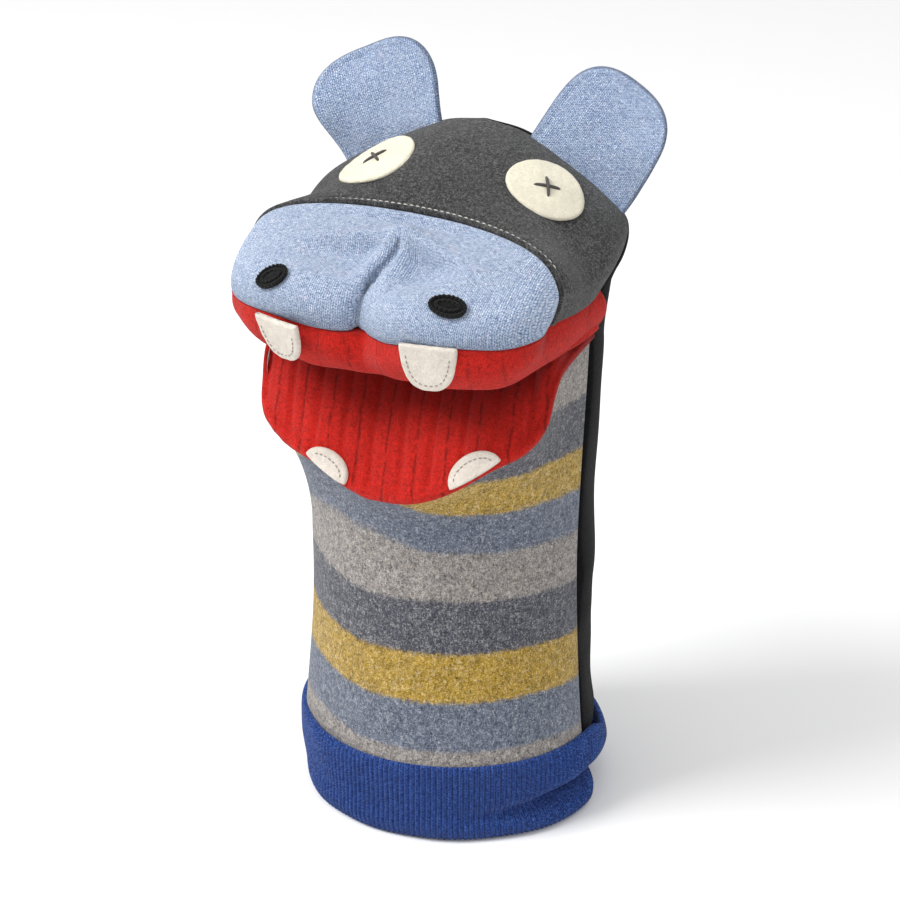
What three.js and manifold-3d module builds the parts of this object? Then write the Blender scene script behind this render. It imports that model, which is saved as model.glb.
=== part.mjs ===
// Hand puppet: a felted-knit glove puppet with a wide animal head, in millimetres.
// +Z is up, the puppet faces -Y and its left side is +X.
// The origin is on the ground, under the middle of the puppet's outline as seen from above.
// The shapes are written about the cuff's own centre line, and the whole puppet is shifted back once.

import * as THREE from "three";
import { mergeVertices } from "three/addons/utils/BufferGeometryUtils.js";
import Module from "manifold-3d";

const wasm = await Module();
wasm.setup();

// ---------------------------------------------------------------- driving dimensions

const CLOTH = 2.6; // felted cloth thickness
const FELT = 2.2; // craft felt of eyes, nostrils and teeth
const THREAD = 0.4; // sewing thread radius, as it lies plumped on the cloth
const EASE = 0.4; // clearance between neighbouring pieces

const CENTRE_BACK = 9.45; // the cuff's centre line lies this far behind the origin, as the muzzle overhangs

const CUFF = {
  height: 31, inner: 49.5, topWall: 5.4,
  bottomInner: 48.5, bottomOuter: 53.5, hem: 56.2, belly: 58, topOuter: 57.4,
};

// The sleeve is narrowest at its waist and widens over the distances below and above it.
const SLEEVE = {
  bottom: 31.6, waist: 112, below: 81, above: 78, radius: 53.7, flareLow: 3.6, flareHigh: 1.3, depth: 0.98,
  seamShift: 4.5, seamRise: 88,
};
const FRONT_FLARE = 104; // height where the front panel starts to open towards the jaw
const FLARE = { tuck: 0.15, out: 0.8, rise: 0.6 }; // lean of the front panel where the flare starts and ends
const BACK_CLOSE = 185; // height where the back panel starts to close over the head

const TURN_Z = 56; // the forearm turns about Z; the sleeve is divided at this height
const NOD_Z = 85; // the wrist nods about X at this height
const NOD_GAP_DEG = 7.6; // half opening of the sleeve either side of the nod axis
const MOUTH = { y: 4, z: 200 }; // axis of head and jaw, through the corners of the mouth
const FOLD_RADIUS = 42; // the mouth's soft fold lies within this distance of that axis
const FOLD_HALF = 47; // and within this distance of the middle

// Angles about the mouth axis, in degrees below the level line towards the front.
const LIP_LIMIT = 14;
const JAW_TOP = 33;
const JAW_BOTTOM = 53;
const HAND_FRONT = 58;
// Angles above the level line towards the back.
const HEAD_BACK = 12.7;
const HAND_BACK = -0.5;

// Seam lines of the right half, as rows of [parameter, x, y, z]; 0 is the middle of the face.
const BROW = [
  [0, 0, -29, 237.8], [0.28, 20, -29.8, 237.4], [0.5, 38, -31.8, 235.8], [0.66, 51, -34, 232.8],
  [0.78, 59, -35.8, 228], [0.88, 62.8, -36.7, 220.5], [0.95, 60.8, -36, 213], [1, 58, -35, 207.5],
];
const LIP = [
  [0, 0, -62.4, 202], [0.14, 12, -68.4, 203.2], [0.32, 28.6, -72.5, 206.2], [0.5, 44, -69.5, 206.6],
  [0.66, 55.5, -60.5, 205.8], [0.84, 61.5, -47, 206.6], [1, 58, -35, 207.5],
];
const CHEEK = [[0, 58, -35, 207.5], [0.5, 58, -16, 208.2], [1, 57, 5, 208.5]];
const ARCH = [
  [0, 0, 23, 258.5], [0.2, 17.5, 23, 255.4], [0.45, 40, 23, 243.5], [0.66, 58, 22.5, 231],
  [0.8, 61, 16, 221], [1, 57, 5, 208.5],
];
const RIM = [
  [0, 0, -62.5, 140.7], [0.18, 18, -61.5, 142.7], [0.36, 35, -57, 150.2], [0.5, 47, -50.5, 158],
  [0.62, 54.5, -43.5, 166], [0.74, 57.5, -35, 175.3], [0.87, 57.5, -17, 186], [1, 55, 4, 191.5],
];
const LIP_EDGE = [
  [0, 0, -58, 186.5], [0.3, 27, -65, 188.5], [0.5, 43, -63, 189], [0.68, 53, -51, 189],
  [0.84, 55, -28, 190], [1, 54, -12, 191],
];
const FOLD = { half: 50, y: -22, z: 197, sweep: 14 };
const NAPE = { width: 0.9, rise: 0.55, fullness: 0.85 }; // how the back of the head leaves the arch seam
const CROWN = { core: 203, bulge: 4.5, shoulder: 8 };
const SNOUT = { fullness: 0.95, splay: 0.5, gather: 0.3 };
const LIP_BULGE = 3.2; // how far the lip swells between its two edges
const LIP_CORE_Y = -15; // the lip swells away from this point of the middle plane
const PALATE = { rise: 5.5, dish: 3 };
const SNOUT_SHARE = 0.75; // share of the lip seam that lies under the snout; the rest lies under the cheek

const EAR = {
  root: [37.75, 23, 242.5], across: [40.5, 0, -23], up: [18.65, 12.8, 33.5], lift: 2.7,
  half: 23.5, height: 40, curl: 9.5,
  neck: 0.93, belly: 0.07, squareness: 4, tip: 0.45,
};
const EYE = { radius: 15, s: 0.41, t: 0.47, lift: 0.9 };
const CROSS = { arm: 5.4, half: 0.8, depth: 1 };
const NOSTRIL = { halfWidth: 6.5, halfHeight: 4.5, s: 0.4, t: 0.31, lift: 0.9, stitchInset: 1.4 };
const UPPER_TOOTH = {
  x: 29.3, top: 204.6, y: -73.6, halfWidth: 10, length: 14.5, taper: 0.8, tip: 8, stitchInset: 3,
};
const LOWER_TOOTH = { s: 0.33, t: 0.97, radius: 11, flatten: 0.5, lift: 0.9, stitchInset: 2.6 };
const STITCH_HEIGHT = FELT + 0.35 + THREAD; // a sewn line's middle, above the underside of its felt
const TOPSTITCH = { t: 0.075, end: 0.84, segments: 24 };

// ---------------------------------------------------------------- small helpers

const radians = THREE.MathUtils.degToRad;
const lerp = THREE.MathUtils.lerp;
const smooth = (x) => THREE.MathUtils.smoothstep(x, 0, 1);
const vector = (x, y, z) => new THREE.Vector3(x, y, z);

// A smooth curve through rows of [parameter, x, y, z].
function along(rows, s) {
  const last = rows.length - 1;
  const at = THREE.MathUtils.clamp(s, rows[0][0], rows[last][0]);
  let i = 0;
  while (i < last - 1 && rows[i + 1][0] < at) i += 1;
  const point = (k) => vector(rows[k][1], rows[k][2], rows[k][3]);
  const slope = (k) => {
    const before = Math.max(k - 1, 0);
    const after = Math.min(k + 1, last);
    return point(after).sub(point(before)).divideScalar(rows[after][0] - rows[before][0]);
  };
  const span = rows[i + 1][0] - rows[i][0];
  const u = (at - rows[i][0]) / span;
  return hermite(point(i), slope(i).multiplyScalar(span), point(i + 1), slope(i + 1).multiplyScalar(span), u);
}

// The same curve for both halves of the face: a negative parameter gives the mirrored point.
function mirrored(rows, s) {
  const p = along(rows, Math.abs(s));
  if (s < 0) p.x = -p.x;
  return p;
}

function hermite(p0, t0, p1, t1, t) {
  const t2 = t * t;
  const t3 = t2 * t;
  return vector(0, 0, 0)
    .addScaledVector(p0, 2 * t3 - 3 * t2 + 1)
    .addScaledVector(t0, t3 - 2 * t2 + t)
    .addScaledVector(p1, 3 * t2 - 2 * t3)
    .addScaledVector(t1, t3 - t2);
}

// Outward normal of a surface(u, v) whose u direction crossed with its v direction points outward.
function normalAt(surface, u, v) {
  const step = 0.004;
  const u0 = Math.max(u - step, 0);
  const u1 = Math.min(u + step, 1);
  const v0 = Math.max(v - step, 0);
  const v1 = Math.min(v + step, 1);
  const du = surface(u1, v).sub(surface(u0, v));
  const dv = surface(u, v1).sub(surface(u, v0));
  return du.cross(dv).normalize();
}

// A closed solid: surface(u, v) for u and v from 0 to 1, thickened inwards.
function sheet(surface, columns, rows, thickness) {
  const positions = [];
  const index = [];
  const put = (p) => positions.push(p.x, p.y, p.z);
  for (const depth of [0, thickness]) {
    for (let j = 0; j <= rows; j += 1) {
      for (let i = 0; i <= columns; i += 1) {
        const u = i / columns;
        const v = j / rows;
        put(surface(u, v).addScaledVector(normalAt(surface, u, v), -depth));
      }
    }
  }
  const layer = (columns + 1) * (rows + 1);
  const outer = (i, j) => j * (columns + 1) + i;
  const inner = (i, j) => layer + outer(i, j);
  const quad = (a, b, c, d) => index.push(a, b, c, a, c, d);
  for (let j = 0; j < rows; j += 1) {
    for (let i = 0; i < columns; i += 1) {
      quad(outer(i, j), outer(i + 1, j), outer(i + 1, j + 1), outer(i, j + 1));
      quad(inner(i, j), inner(i, j + 1), inner(i + 1, j + 1), inner(i + 1, j));
    }
  }
  for (let i = 0; i < columns; i += 1) {
    quad(outer(i, 0), inner(i, 0), inner(i + 1, 0), outer(i + 1, 0));
    quad(outer(i, rows), outer(i + 1, rows), inner(i + 1, rows), inner(i, rows));
  }
  for (let j = 0; j < rows; j += 1) {
    quad(outer(0, j), outer(0, j + 1), inner(0, j + 1), inner(0, j));
    quad(outer(columns, j), inner(columns, j), inner(columns, j + 1), outer(columns, j + 1));
  }
  const geometry = new THREE.BufferGeometry();
  geometry.setAttribute("position", new THREE.Float32BufferAttribute(positions, 3));
  geometry.setIndex(index);
  return geometry;
}

function solid(geometry) {
  const bare = geometry.clone();
  bare.deleteAttribute("normal");
  bare.deleteAttribute("uv");
  const merged = mergeVertices(bare, 1e-3);
  return new wasm.Manifold(new wasm.Mesh({
    numProp: 3,
    vertProperties: merged.attributes.position.array,
    triVerts: new Uint32Array(merged.index.array),
  }));
}

function geometryOf(manifold) {
  const mesh = manifold.getMesh();
  const geometry = new THREE.BufferGeometry();
  geometry.setAttribute("position", new THREE.BufferAttribute(mesh.vertProperties, 3));
  geometry.setIndex(new THREE.BufferAttribute(mesh.triVerts, 1));
  return geometry;
}

const REACH = 100; // half width of the cutting prisms, wider than the puppet

// A prism across the whole width, from points [y, z] of its side view.
function across(points, halfWidth = REACH) {
  const shape = new THREE.Shape(points.map(([y, z]) => new THREE.Vector2(y, z)));
  const prism = new THREE.ExtrudeGeometry(shape, { depth: 2 * halfWidth, bevelEnabled: false });
  prism.applyMatrix4(new THREE.Matrix4().makeBasis(vector(0, 1, 0), vector(0, 0, 1), vector(1, 0, 0)));
  prism.translate(-halfWidth, 0, 0);
  return solid(prism);
}

// A point [y, z] at a distance from the mouth axis; the angle is below level, towards the front.
function fromMouth(degrees, distance) {
  const a = radians(degrees);
  return [MOUTH.y - distance * Math.cos(a), MOUTH.z - distance * Math.sin(a)];
}

function roundMouth(radius) {
  const drum = new THREE.CylinderGeometry(radius, radius, 2 * FOLD_HALF, 32);
  drum.rotateZ(Math.PI / 2);
  drum.translate(0, MOUTH.y, MOUTH.z);
  return solid(drum);
}

// ---------------------------------------------------------------- surfaces of the cloth

function sleeveRadius(z) {
  if (z < SLEEVE.waist) {
    return SLEEVE.radius + SLEEVE.flareLow * ((SLEEVE.waist - z) / SLEEVE.below) ** 2;
  }
  return SLEEVE.radius + SLEEVE.flareHigh * ((z - SLEEVE.waist) / SLEEVE.above) ** 2;
}

// Side -1 is the front half of the sleeve and +1 the back half; s runs from -1 to 1 across it.
function sleevePoint(s, z, side) {
  const a = sleeveRadius(z);
  const angle = (s * Math.PI) / 2;
  const seamShift = SLEEVE.seamShift * smooth((z - FRONT_FLARE) / SLEEVE.seamRise) * Math.abs(s) ** 6;
  return vector(a * Math.sin(angle), SLEEVE.depth * a * Math.cos(angle) * side + seamShift, z);
}

function frontFlare(s, t) {
  const p0 = sleevePoint(s, FRONT_FLARE, -1);
  const p1 = mirrored(RIM, s);
  const length = p0.distanceTo(p1);
  const upright = Math.abs(s) ** 4;
  const start = vector(0, FLARE.tuck * (1 - upright), 1);
  const end = vector(p1.x / 2, p1.y, 0).setLength(FLARE.out).setZ(FLARE.rise);
  end.lerp(vector(0, 0, 1), upright);
  return hermite(p0, start.multiplyScalar(length), p1, end.multiplyScalar(length), t);
}

// The back of the head leaves the arch seam backwards in the middle and downwards at its ends.
function backClose(s, t) {
  const p0 = mirrored(ARCH, s);
  const p1 = sleevePoint(s, BACK_CLOSE, 1);
  const length = p0.distanceTo(p1);
  const backwards = Math.max(0, 1 - (s / NAPE.width) ** 2);
  const start = vector(0, backwards, NAPE.rise * backwards - 1).setLength(NAPE.fullness * length);
  return hermite(p0, start, p1, vector(0, 0, -length), t);
}

const bell = (x, middle, width) => Math.exp(-(((x - middle) / width) ** 2));

// The crown bulges between its two seams, except on its shoulders beside the eyes.
function crownSurface(s, t) {
  const p = mirrored(BROW, s).lerp(mirrored(ARCH, s), t);
  const out = vector(p.x, 0, p.z - CROWN.core).normalize();
  const shoulder = bell(Math.abs(s), 0.7, 0.2) * bell(t, 0.4, 0.28);
  return p.addScaledVector(out, 4 * t * (1 - t) * (CROWN.bulge - CROWN.shoulder * shoulder));
}

function snoutSurface(s, t) {
  const p0 = mirrored(LIP, s);
  const p1 = mirrored(BROW, s);
  const length = SNOUT.fullness * p0.distanceTo(p1);
  const lean = Math.sign(s) * Math.abs(s) ** 3;
  const start = vector(SNOUT.splay * lean, -0.05, 1).setLength(length);
  const end = vector(-SNOUT.gather * lean, 1, 0.3).setLength(length);
  return hermite(p0, start, p1, end, t);
}

// The upper edge of the red cloth: under the snout, then under the crown's cheek.
function lipSeam(s) {
  if (Math.abs(s) < SNOUT_SHARE) return mirrored(LIP, s / SNOUT_SHARE);
  const p = along(CHEEK, (Math.abs(s) - SNOUT_SHARE) / (1 - SNOUT_SHARE));
  if (s < 0) p.x = -p.x;
  return p;
}

function foldLine(s) {
  return vector(FOLD.half * s, FOLD.y + FOLD.sweep * s ** 4, FOLD.z);
}

function lipBand(s, t) {
  const p0 = lipSeam(s);
  const out = vector(p0.x, p0.y - LIP_CORE_Y, 0).normalize();
  return p0.lerp(mirrored(LIP_EDGE, s), t).addScaledVector(out, LIP_BULGE * Math.sin(Math.PI * t));
}

function upperPalate(s, t) {
  const rise = PALATE.rise * Math.sin(Math.PI * t) ** 0.7;
  return mirrored(LIP_EDGE, s).lerp(foldLine(s), t).add(vector(0, 0, rise));
}

function lowerPalate(s, t) {
  const dish = vector(0, 0.6, -0.8).multiplyScalar(PALATE.dish * Math.sin(Math.PI * t));
  return foldLine(s).lerp(mirrored(RIM, s), t).add(dish);
}

// ---------------------------------------------------------------- cloth panels

const SLEEVE_SHARE = 0.992; // share of the width that a sleeve panel keeps, which leaves the side seam open
const MOUTH_SHARE = 0.975; // the same for the red cloth, which ends short of the corners of the mouth

// The front panel climbs the sleeve and then flares out to just short of the jaw's rim.
function frontPanel() {
  const tubeShare = 0.3;
  const rimGap = 0.1;
  return solid(sheet((u, v) => {
    const s = (2 * u - 1) * SLEEVE_SHARE;
    if (v < tubeShare) return sleevePoint(s, lerp(SLEEVE.bottom, FRONT_FLARE, v / tubeShare), -1);
    return frontFlare(s, lerp(0, 1 - rimGap, (v - tubeShare) / (1 - tubeShare)));
  }, 18, 8, CLOTH));
}

// The back panel runs from just below the arch seam down the back of the head and the sleeve.
function backPanel() {
  const closeShare = 0.5;
  const archGap = 0.03;
  return solid(sheet((u, v) => {
    const s = (2 * u - 1) * SLEEVE_SHARE;
    if (v < closeShare) return backClose(s, lerp(archGap, 1, v / closeShare));
    return sleevePoint(s, lerp(BACK_CLOSE, SLEEVE.bottom, (v - closeShare) / (1 - closeShare)), 1);
  }, 18, 10, CLOTH));
}

const NOD_SLOPE = Math.tan(radians(NOD_GAP_DEG));
const TURN_LOW = TURN_Z - EASE / 2 - 0.05;
const TURN_HIGH = TURN_Z + EASE / 2 + 0.05;
const NOD_LOW = NOD_Z - EASE;
const NOD_HIGH = NOD_Z + EASE;
const NOD_DROP = REACH * NOD_SLOPE; // fall and rise of the V-shaped gap at the prisms' ends

const regions = {
  lower: across([[-REACH, -10], [REACH, -10], [REACH, TURN_LOW], [-REACH, TURN_LOW]]),
  forearm: across([
    [-REACH, TURN_HIGH], [REACH, TURN_HIGH],
    [REACH, NOD_LOW - NOD_DROP], [0, NOD_LOW], [-REACH, NOD_LOW - NOD_DROP],
  ]),
  overWrist: across([
    [0, NOD_HIGH], [REACH, NOD_HIGH + NOD_DROP],
    [REACH, 300], [-REACH, 300], [-REACH, NOD_HIGH + NOD_DROP],
  ]),
  handFront: across([fromMouth(90, 0), fromMouth(HAND_FRONT, 180), [MOUTH.y, 20], [60, 20], [60, 196]]),
  handBack: across([fromMouth(90, 0), [-1, 200], [-1, 20], [REACH, 20], fromMouth(180 + HAND_BACK, 200)]),
  jaw: across([fromMouth(90, 0), [MOUTH.y, 300], [-200, 300], [-200, 40], fromMouth(JAW_BOTTOM, 200)]),
  headBack: across([fromMouth(90, 0), fromMouth(180 + HEAD_BACK, 200), [200, 400], [-10, 400], [-10, 209]]),
  overLip: across([fromMouth(90, 0), fromMouth(LIP_LIMIT, 200), [-200, 400], [50, 400], [50, 206]]),
  underLip: across([fromMouth(90, 0), fromMouth(JAW_TOP, 200), fromMouth(80, 200)]),
};

function sleevePieces() {
  const front = frontPanel();
  const back = backPanel();
  return {
    sleeve_front_lower: front.intersect(regions.lower),
    sleeve_back_lower: back.intersect(regions.lower),
    sleeve_front_forearm: front.intersect(regions.forearm),
    sleeve_back_forearm: back.intersect(regions.forearm),
    sleeve_front_hand: front.intersect(regions.overWrist).intersect(regions.handFront),
    sleeve_back_hand: back.intersect(regions.overWrist).intersect(regions.handBack),
    jaw_underside: front.intersect(regions.overWrist).intersect(regions.jaw),
    head_back: back.intersect(regions.headBack),
  };
}

// The red mouth cloth, seen from inside the mouth: lip, palate, fold and lower palate.
function mouthSheet(surface, from, to, rows) {
  return solid(sheet((u, v) => {
    const s = (1 - 2 * u) * MOUTH_SHARE;
    return surface(s, lerp(from, to, v));
  }, 20, rows, CLOTH));
}

function mouthPieces() {
  const upper = mouthSheet((s, t) => (t < 1 ? lipBand(s, t) : upperPalate(s, t - 1)), 0.05, 2, 8);
  const lower = mouthSheet((s, t) => lowerPalate(s, t), 0.02, 0.985, 6);
  const roof = mouthSheet((s, t) => (t < 1 ? upperPalate(s, t) : lowerPalate(s, t - 1)), 0.5, 1.6, 8);
  const core = across([[-80, 100], [80, 100], [80, 300], [-80, 300]], FOLD_HALF - 1);
  return {
    upper_lip_and_palate: upper.subtract(roundMouth(FOLD_RADIUS + 0.6)).intersect(regions.overLip),
    mouth_fold: roof.intersect(roundMouth(FOLD_RADIUS - 0.4)).intersect(core),
    lower_palate: lower.subtract(roundMouth(FOLD_RADIUS + 1.4)).intersect(regions.underLip),
  };
}

// The two panels of the face stop just short of the seams that join them.
function crownPanel() {
  return sheet((u, v) => crownSurface((2 * u - 1) * 0.985, lerp(0.014, 0.98, v)), 20, 6, CLOTH);
}

function snoutPanel() {
  return sheet((u, v) => snoutSurface((2 * u - 1) * 0.95, lerp(0.015, 0.985, v)), 20, 6, CLOTH);
}

// A rib-knit band: closed ring profile with a flat lower edge, turned about Z.
function cuffRing() {
  const c = CUFF;
  const profile = [
    [c.bottomInner, 0], [c.bottomOuter, 0], [c.hem, 4], [c.belly, 14], [c.belly, 24],
    [c.topOuter, c.height], [c.topOuter - c.topWall, c.height],
    [c.inner, 20], [c.inner, 8], [c.bottomInner, 0],
  ].map(([r, z]) => new THREE.Vector2(r, z));
  const ring = new THREE.LatheGeometry(profile, 40);
  ring.rotateX(Math.PI / 2);
  return ring;
}

// ---------------------------------------------------------------- felt pieces and threads

// A group that stands on a surface: its Z is the outward normal, its Y climbs the surface.
function standOn(surface, s, t, lift) {
  const step = 0.01;
  const p = surface(s, t);
  const sideways = surface(s + step, t).sub(surface(s - step, t));
  const climb = surface(s, t + step).sub(surface(s, t - step)).normalize();
  const normal = sideways.cross(climb).normalize();
  const x = climb.clone().cross(normal);
  const group = new THREE.Group();
  group.quaternion.setFromRotationMatrix(new THREE.Matrix4().makeBasis(x, climb, normal));
  group.position.copy(p).addScaledVector(normal, lift);
  return group;
}

function slab(shape, depth, segments = 12) {
  return new THREE.ExtrudeGeometry(shape, { depth, bevelEnabled: false, curveSegments: segments });
}

function ellipse(halfWidth, halfHeight) {
  return new THREE.Shape().absellipse(0, 0, halfWidth, halfHeight, 0, 2 * Math.PI);
}

function crossShape() {
  const { arm, half } = CROSS;
  const centre = new THREE.Vector2();
  const limb = [[half, arm], [-half, arm], [-half, half]];
  const points = [];
  for (let k = 0; k < 4; k += 1) {
    const turn = (k * Math.PI) / 2 + Math.PI / 4;
    for (const [x, y] of limb) {
      points.push(new THREE.Vector2(x, y).rotateAround(centre, turn));
    }
  }
  return new THREE.Shape(points);
}

// One layer of an ear: a rounded tab whose outer edge (sign +1 or -1) curls forward.
// u runs across it and v from the root to the tip; depth is the distance behind the middle plane.
function earLayer(sign, depth) {
  return sheet((u, v) => {
    const rise = 0.985 * v;
    const taper = (1 - rise ** EAR.squareness) ** EAR.tip;
    const half = EAR.half * (EAR.neck + EAR.belly * Math.sin(Math.PI * rise)) * taper;
    const x = (2 * u - 1) * half;
    const outwards = (sign * x) / EAR.half;
    const share = outwards > 0 ? outwards ** 1.3 : 0.25 * outwards;
    const forward = EAR.curl * smooth(rise * 1.6) * share;
    return vector(x, rise * EAR.height, forward - depth);
  }, 10, 8, CLOTH);
}

// A tooth of the upper jaw: straight sides that narrow by the taper, then a round tip.
function tongueShape() {
  const { halfWidth, length, taper, tip } = UPPER_TOOTH;
  const shape = new THREE.Shape();
  shape.moveTo(-halfWidth, 0);
  shape.lineTo(-halfWidth + taper, tip - length);
  shape.absellipse(0, tip - length, halfWidth - taper, tip, Math.PI, 2 * Math.PI);
  shape.lineTo(halfWidth, 0);
  return shape;
}

function halfMoonShape() {
  const { radius, flatten } = LOWER_TOOTH;
  return new THREE.Shape().absellipse(0, 0, radius, radius - flatten, 0, Math.PI);
}

// A thread along points, round in section.
function thread(points, steps, radius = THREAD) {
  const path = new THREE.CatmullRomCurve3(points);
  const section = new THREE.Shape().absarc(0, 0, radius, 0, 2 * Math.PI);
  return new THREE.ExtrudeGeometry(section, { steps, extrudePath: path, curveSegments: 3 });
}

function arcPoints(rx, ry, from, to, count, z) {
  const points = [];
  for (let k = 0; k <= count; k += 1) {
    const a = lerp(from, to, k / count);
    points.push(vector(rx * Math.cos(a), ry * Math.sin(a), z));
  }
  return points;
}

// ---------------------------------------------------------------- materials

const cloth = (color, roughness = 0.95) => new THREE.MeshStandardMaterial({ color, roughness, metalness: 0 });

const materials = {
  cuff: () => cloth(0x3c5faa),
  stripes: () => cloth(0x8f9290),
  back: () => cloth(0x1e2028),
  mouth: () => cloth(0xc82823),
  crown: () => cloth(0x404042),
  snout: () => cloth(0xa0b9dc),
  eye: () => cloth(0xf0ebd7),
  yarn: () => cloth(0x4a4642),
  nostril: () => cloth(0x121214),
  tooth: () => cloth(0xe9e7e1),
  thread: () => cloth(0xcfcdc6, 0.7),
};

// ---------------------------------------------------------------- assembly

const puppet = new THREE.Group();
puppet.position.y = CENTRE_BACK;

function addPiece(name, geometry, material, parent = puppet) {
  const mesh = new THREE.Mesh(geometry, material());
  mesh.name = name;
  parent.add(mesh);
  return mesh;
}

function addEar(name, sign) {
  const up = vector(...EAR.up).normalize();
  const sideways = vector(...EAR.across).normalize();
  const root = vector(...EAR.root).addScaledVector(up, EAR.lift);
  if (sign < 0) {
    root.x = -root.x;
    up.x = -up.x;
    sideways.z = -sideways.z;
  }
  const normal = sideways.clone().cross(up).normalize();
  const group = new THREE.Group();
  group.quaternion.setFromRotationMatrix(new THREE.Matrix4().makeBasis(up.clone().cross(normal), up, normal));
  group.position.copy(root);
  puppet.add(group);
  const curledDepth = 1.2 * CLOTH; // a layer's depth where the ear curls most
  addPiece(`${name}_front`, earLayer(sign, -curledDepth - EASE / 2), materials.snout, group);
  addPiece(`${name}_back`, earLayer(sign, EASE / 2), materials.snout, group);
}

function addEye(name, sign) {
  const group = standOn(crownSurface, sign * EYE.s, EYE.t, EYE.lift);
  puppet.add(group);
  addPiece(name, slab(ellipse(EYE.radius, EYE.radius), FELT, 16), materials.eye, group);
  addPiece(`${name}_cross`, slab(crossShape(), CROSS.depth), materials.yarn, group).position.z = FELT + EASE;
}

function addNostril(name, sign) {
  const group = standOn(snoutSurface, sign * NOSTRIL.s, NOSTRIL.t, NOSTRIL.lift);
  puppet.add(group);
  addPiece(name, slab(ellipse(NOSTRIL.halfWidth, NOSTRIL.halfHeight), FELT, 12), materials.nostril, group);
  const rx = NOSTRIL.halfWidth - NOSTRIL.stitchInset;
  const ry = NOSTRIL.halfHeight - NOSTRIL.stitchInset;
  const almostRound = 2 * Math.PI - 0.25; // the thread's two ends don't touch
  const ring = arcPoints(rx, ry, 0, almostRound, 18, STITCH_HEIGHT);
  addPiece(`${name}_stitching`, thread(ring, 20), materials.nostril, group);
}

function addUpperTooth(name, sign) {
  const tooth = UPPER_TOOTH;
  const group = new THREE.Group();
  group.position.set(sign * tooth.x, tooth.y, tooth.top);
  group.rotation.x = Math.PI / 2;
  puppet.add(group);
  addPiece(name, slab(tongueShape(), FELT, 10), materials.tooth, group);
  const inset = tooth.halfWidth - tooth.stitchInset;
  const bendY = tooth.tip - tooth.length + 0.4;
  const bend = arcPoints(inset, tooth.tip - 2.4, Math.PI, 2 * Math.PI, 10, STITCH_HEIGHT);
  for (const p of bend) p.y += bendY;
  const path = [vector(-inset, -1.5, STITCH_HEIGHT), ...bend, vector(inset, -1.5, STITCH_HEIGHT)];
  addPiece(`${name}_stitching`, thread(path, 20), materials.thread, group);
}

function addLowerTooth(name, sign) {
  const palateTop = (s, t) => lowerPalate(s, 1 - t);
  const group = standOn(palateTop, sign * LOWER_TOOTH.s, 1 - LOWER_TOOTH.t, LOWER_TOOTH.lift);
  puppet.add(group);
  addPiece(name, slab(halfMoonShape(), FELT, 12), materials.tooth, group);
  const r = LOWER_TOOTH.radius - LOWER_TOOTH.stitchInset;
  const fromBase = 0.12;
  const path = arcPoints(r, r - 0.3, fromBase, Math.PI - fromBase, 12, STITCH_HEIGHT);
  addPiece(`${name}_stitching`, thread(path, 14), materials.thread, group);
}

function browTopstitch() {
  const points = [];
  for (let k = 0; k <= TOPSTITCH.segments; k += 1) {
    const s = lerp(-TOPSTITCH.end, TOPSTITCH.end, k / TOPSTITCH.segments);
    points.push(standOn(crownSurface, s, TOPSTITCH.t, STITCH_HEIGHT - FELT).position.clone());
  }
  return thread(points, 36);
}

addPiece("cuff", cuffRing(), materials.cuff);
for (const [name, piece] of Object.entries(sleevePieces())) {
  const isBack = name.includes("back");
  addPiece(name, geometryOf(piece), isBack ? materials.back : materials.stripes);
}
for (const [name, piece] of Object.entries(mouthPieces())) {
  addPiece(name, geometryOf(piece), materials.mouth);
}
addPiece("crown_panel", crownPanel(), materials.crown);
addPiece("snout_panel", snoutPanel(), materials.snout);
addPiece("brow_topstitch", browTopstitch(), materials.thread);
for (const [side, sign] of [["left", 1], ["right", -1]]) {
  addEar(`ear_${side}`, sign);
  addEye(`eye_${side}`, sign);
  addNostril(`nostril_${side}`, sign);
  addUpperTooth(`tooth_upper_${side}`, sign);
  addLowerTooth(`tooth_lower_${side}`, sign);
}

export default puppet;
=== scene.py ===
"""Looks of the hand puppet: felted knit cloth, felt face and rib-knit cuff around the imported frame."""

import math

import bpy
import numpy as np
from mathutils import Matrix, Vector
from mathutils.bvhtree import BVHTree


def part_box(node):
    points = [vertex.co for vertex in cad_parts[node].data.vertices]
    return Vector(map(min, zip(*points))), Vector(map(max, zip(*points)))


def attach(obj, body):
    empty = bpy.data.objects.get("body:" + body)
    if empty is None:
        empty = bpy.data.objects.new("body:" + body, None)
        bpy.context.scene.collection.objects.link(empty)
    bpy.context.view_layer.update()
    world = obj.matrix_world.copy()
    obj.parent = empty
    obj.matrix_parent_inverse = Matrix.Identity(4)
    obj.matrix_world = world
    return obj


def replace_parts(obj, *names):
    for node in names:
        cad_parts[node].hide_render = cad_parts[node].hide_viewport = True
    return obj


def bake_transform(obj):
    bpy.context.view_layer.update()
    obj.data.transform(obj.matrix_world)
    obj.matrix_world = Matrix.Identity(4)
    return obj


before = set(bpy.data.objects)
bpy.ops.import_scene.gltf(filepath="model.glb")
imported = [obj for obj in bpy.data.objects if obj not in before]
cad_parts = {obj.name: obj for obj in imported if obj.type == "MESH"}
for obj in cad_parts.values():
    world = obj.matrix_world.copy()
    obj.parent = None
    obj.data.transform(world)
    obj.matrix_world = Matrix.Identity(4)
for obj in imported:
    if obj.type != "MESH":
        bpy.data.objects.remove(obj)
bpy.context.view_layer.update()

# Shapes are worked out in millimetres about the cuff's centre line, then moved to the frame.
MM = 0.001
CUFF_LOW, CUFF_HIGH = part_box("cuff")
CENTRE_Y = (CUFF_LOW.y + CUFF_HIGH.y) / 2

CLOTH = 2.6  # thickness of the knitted cloth
FELT = 1.7
GRID = 0.9  # spacing of the cloth's vertices
COARSE_GRID = 1.3  # and of the plain back's

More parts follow.
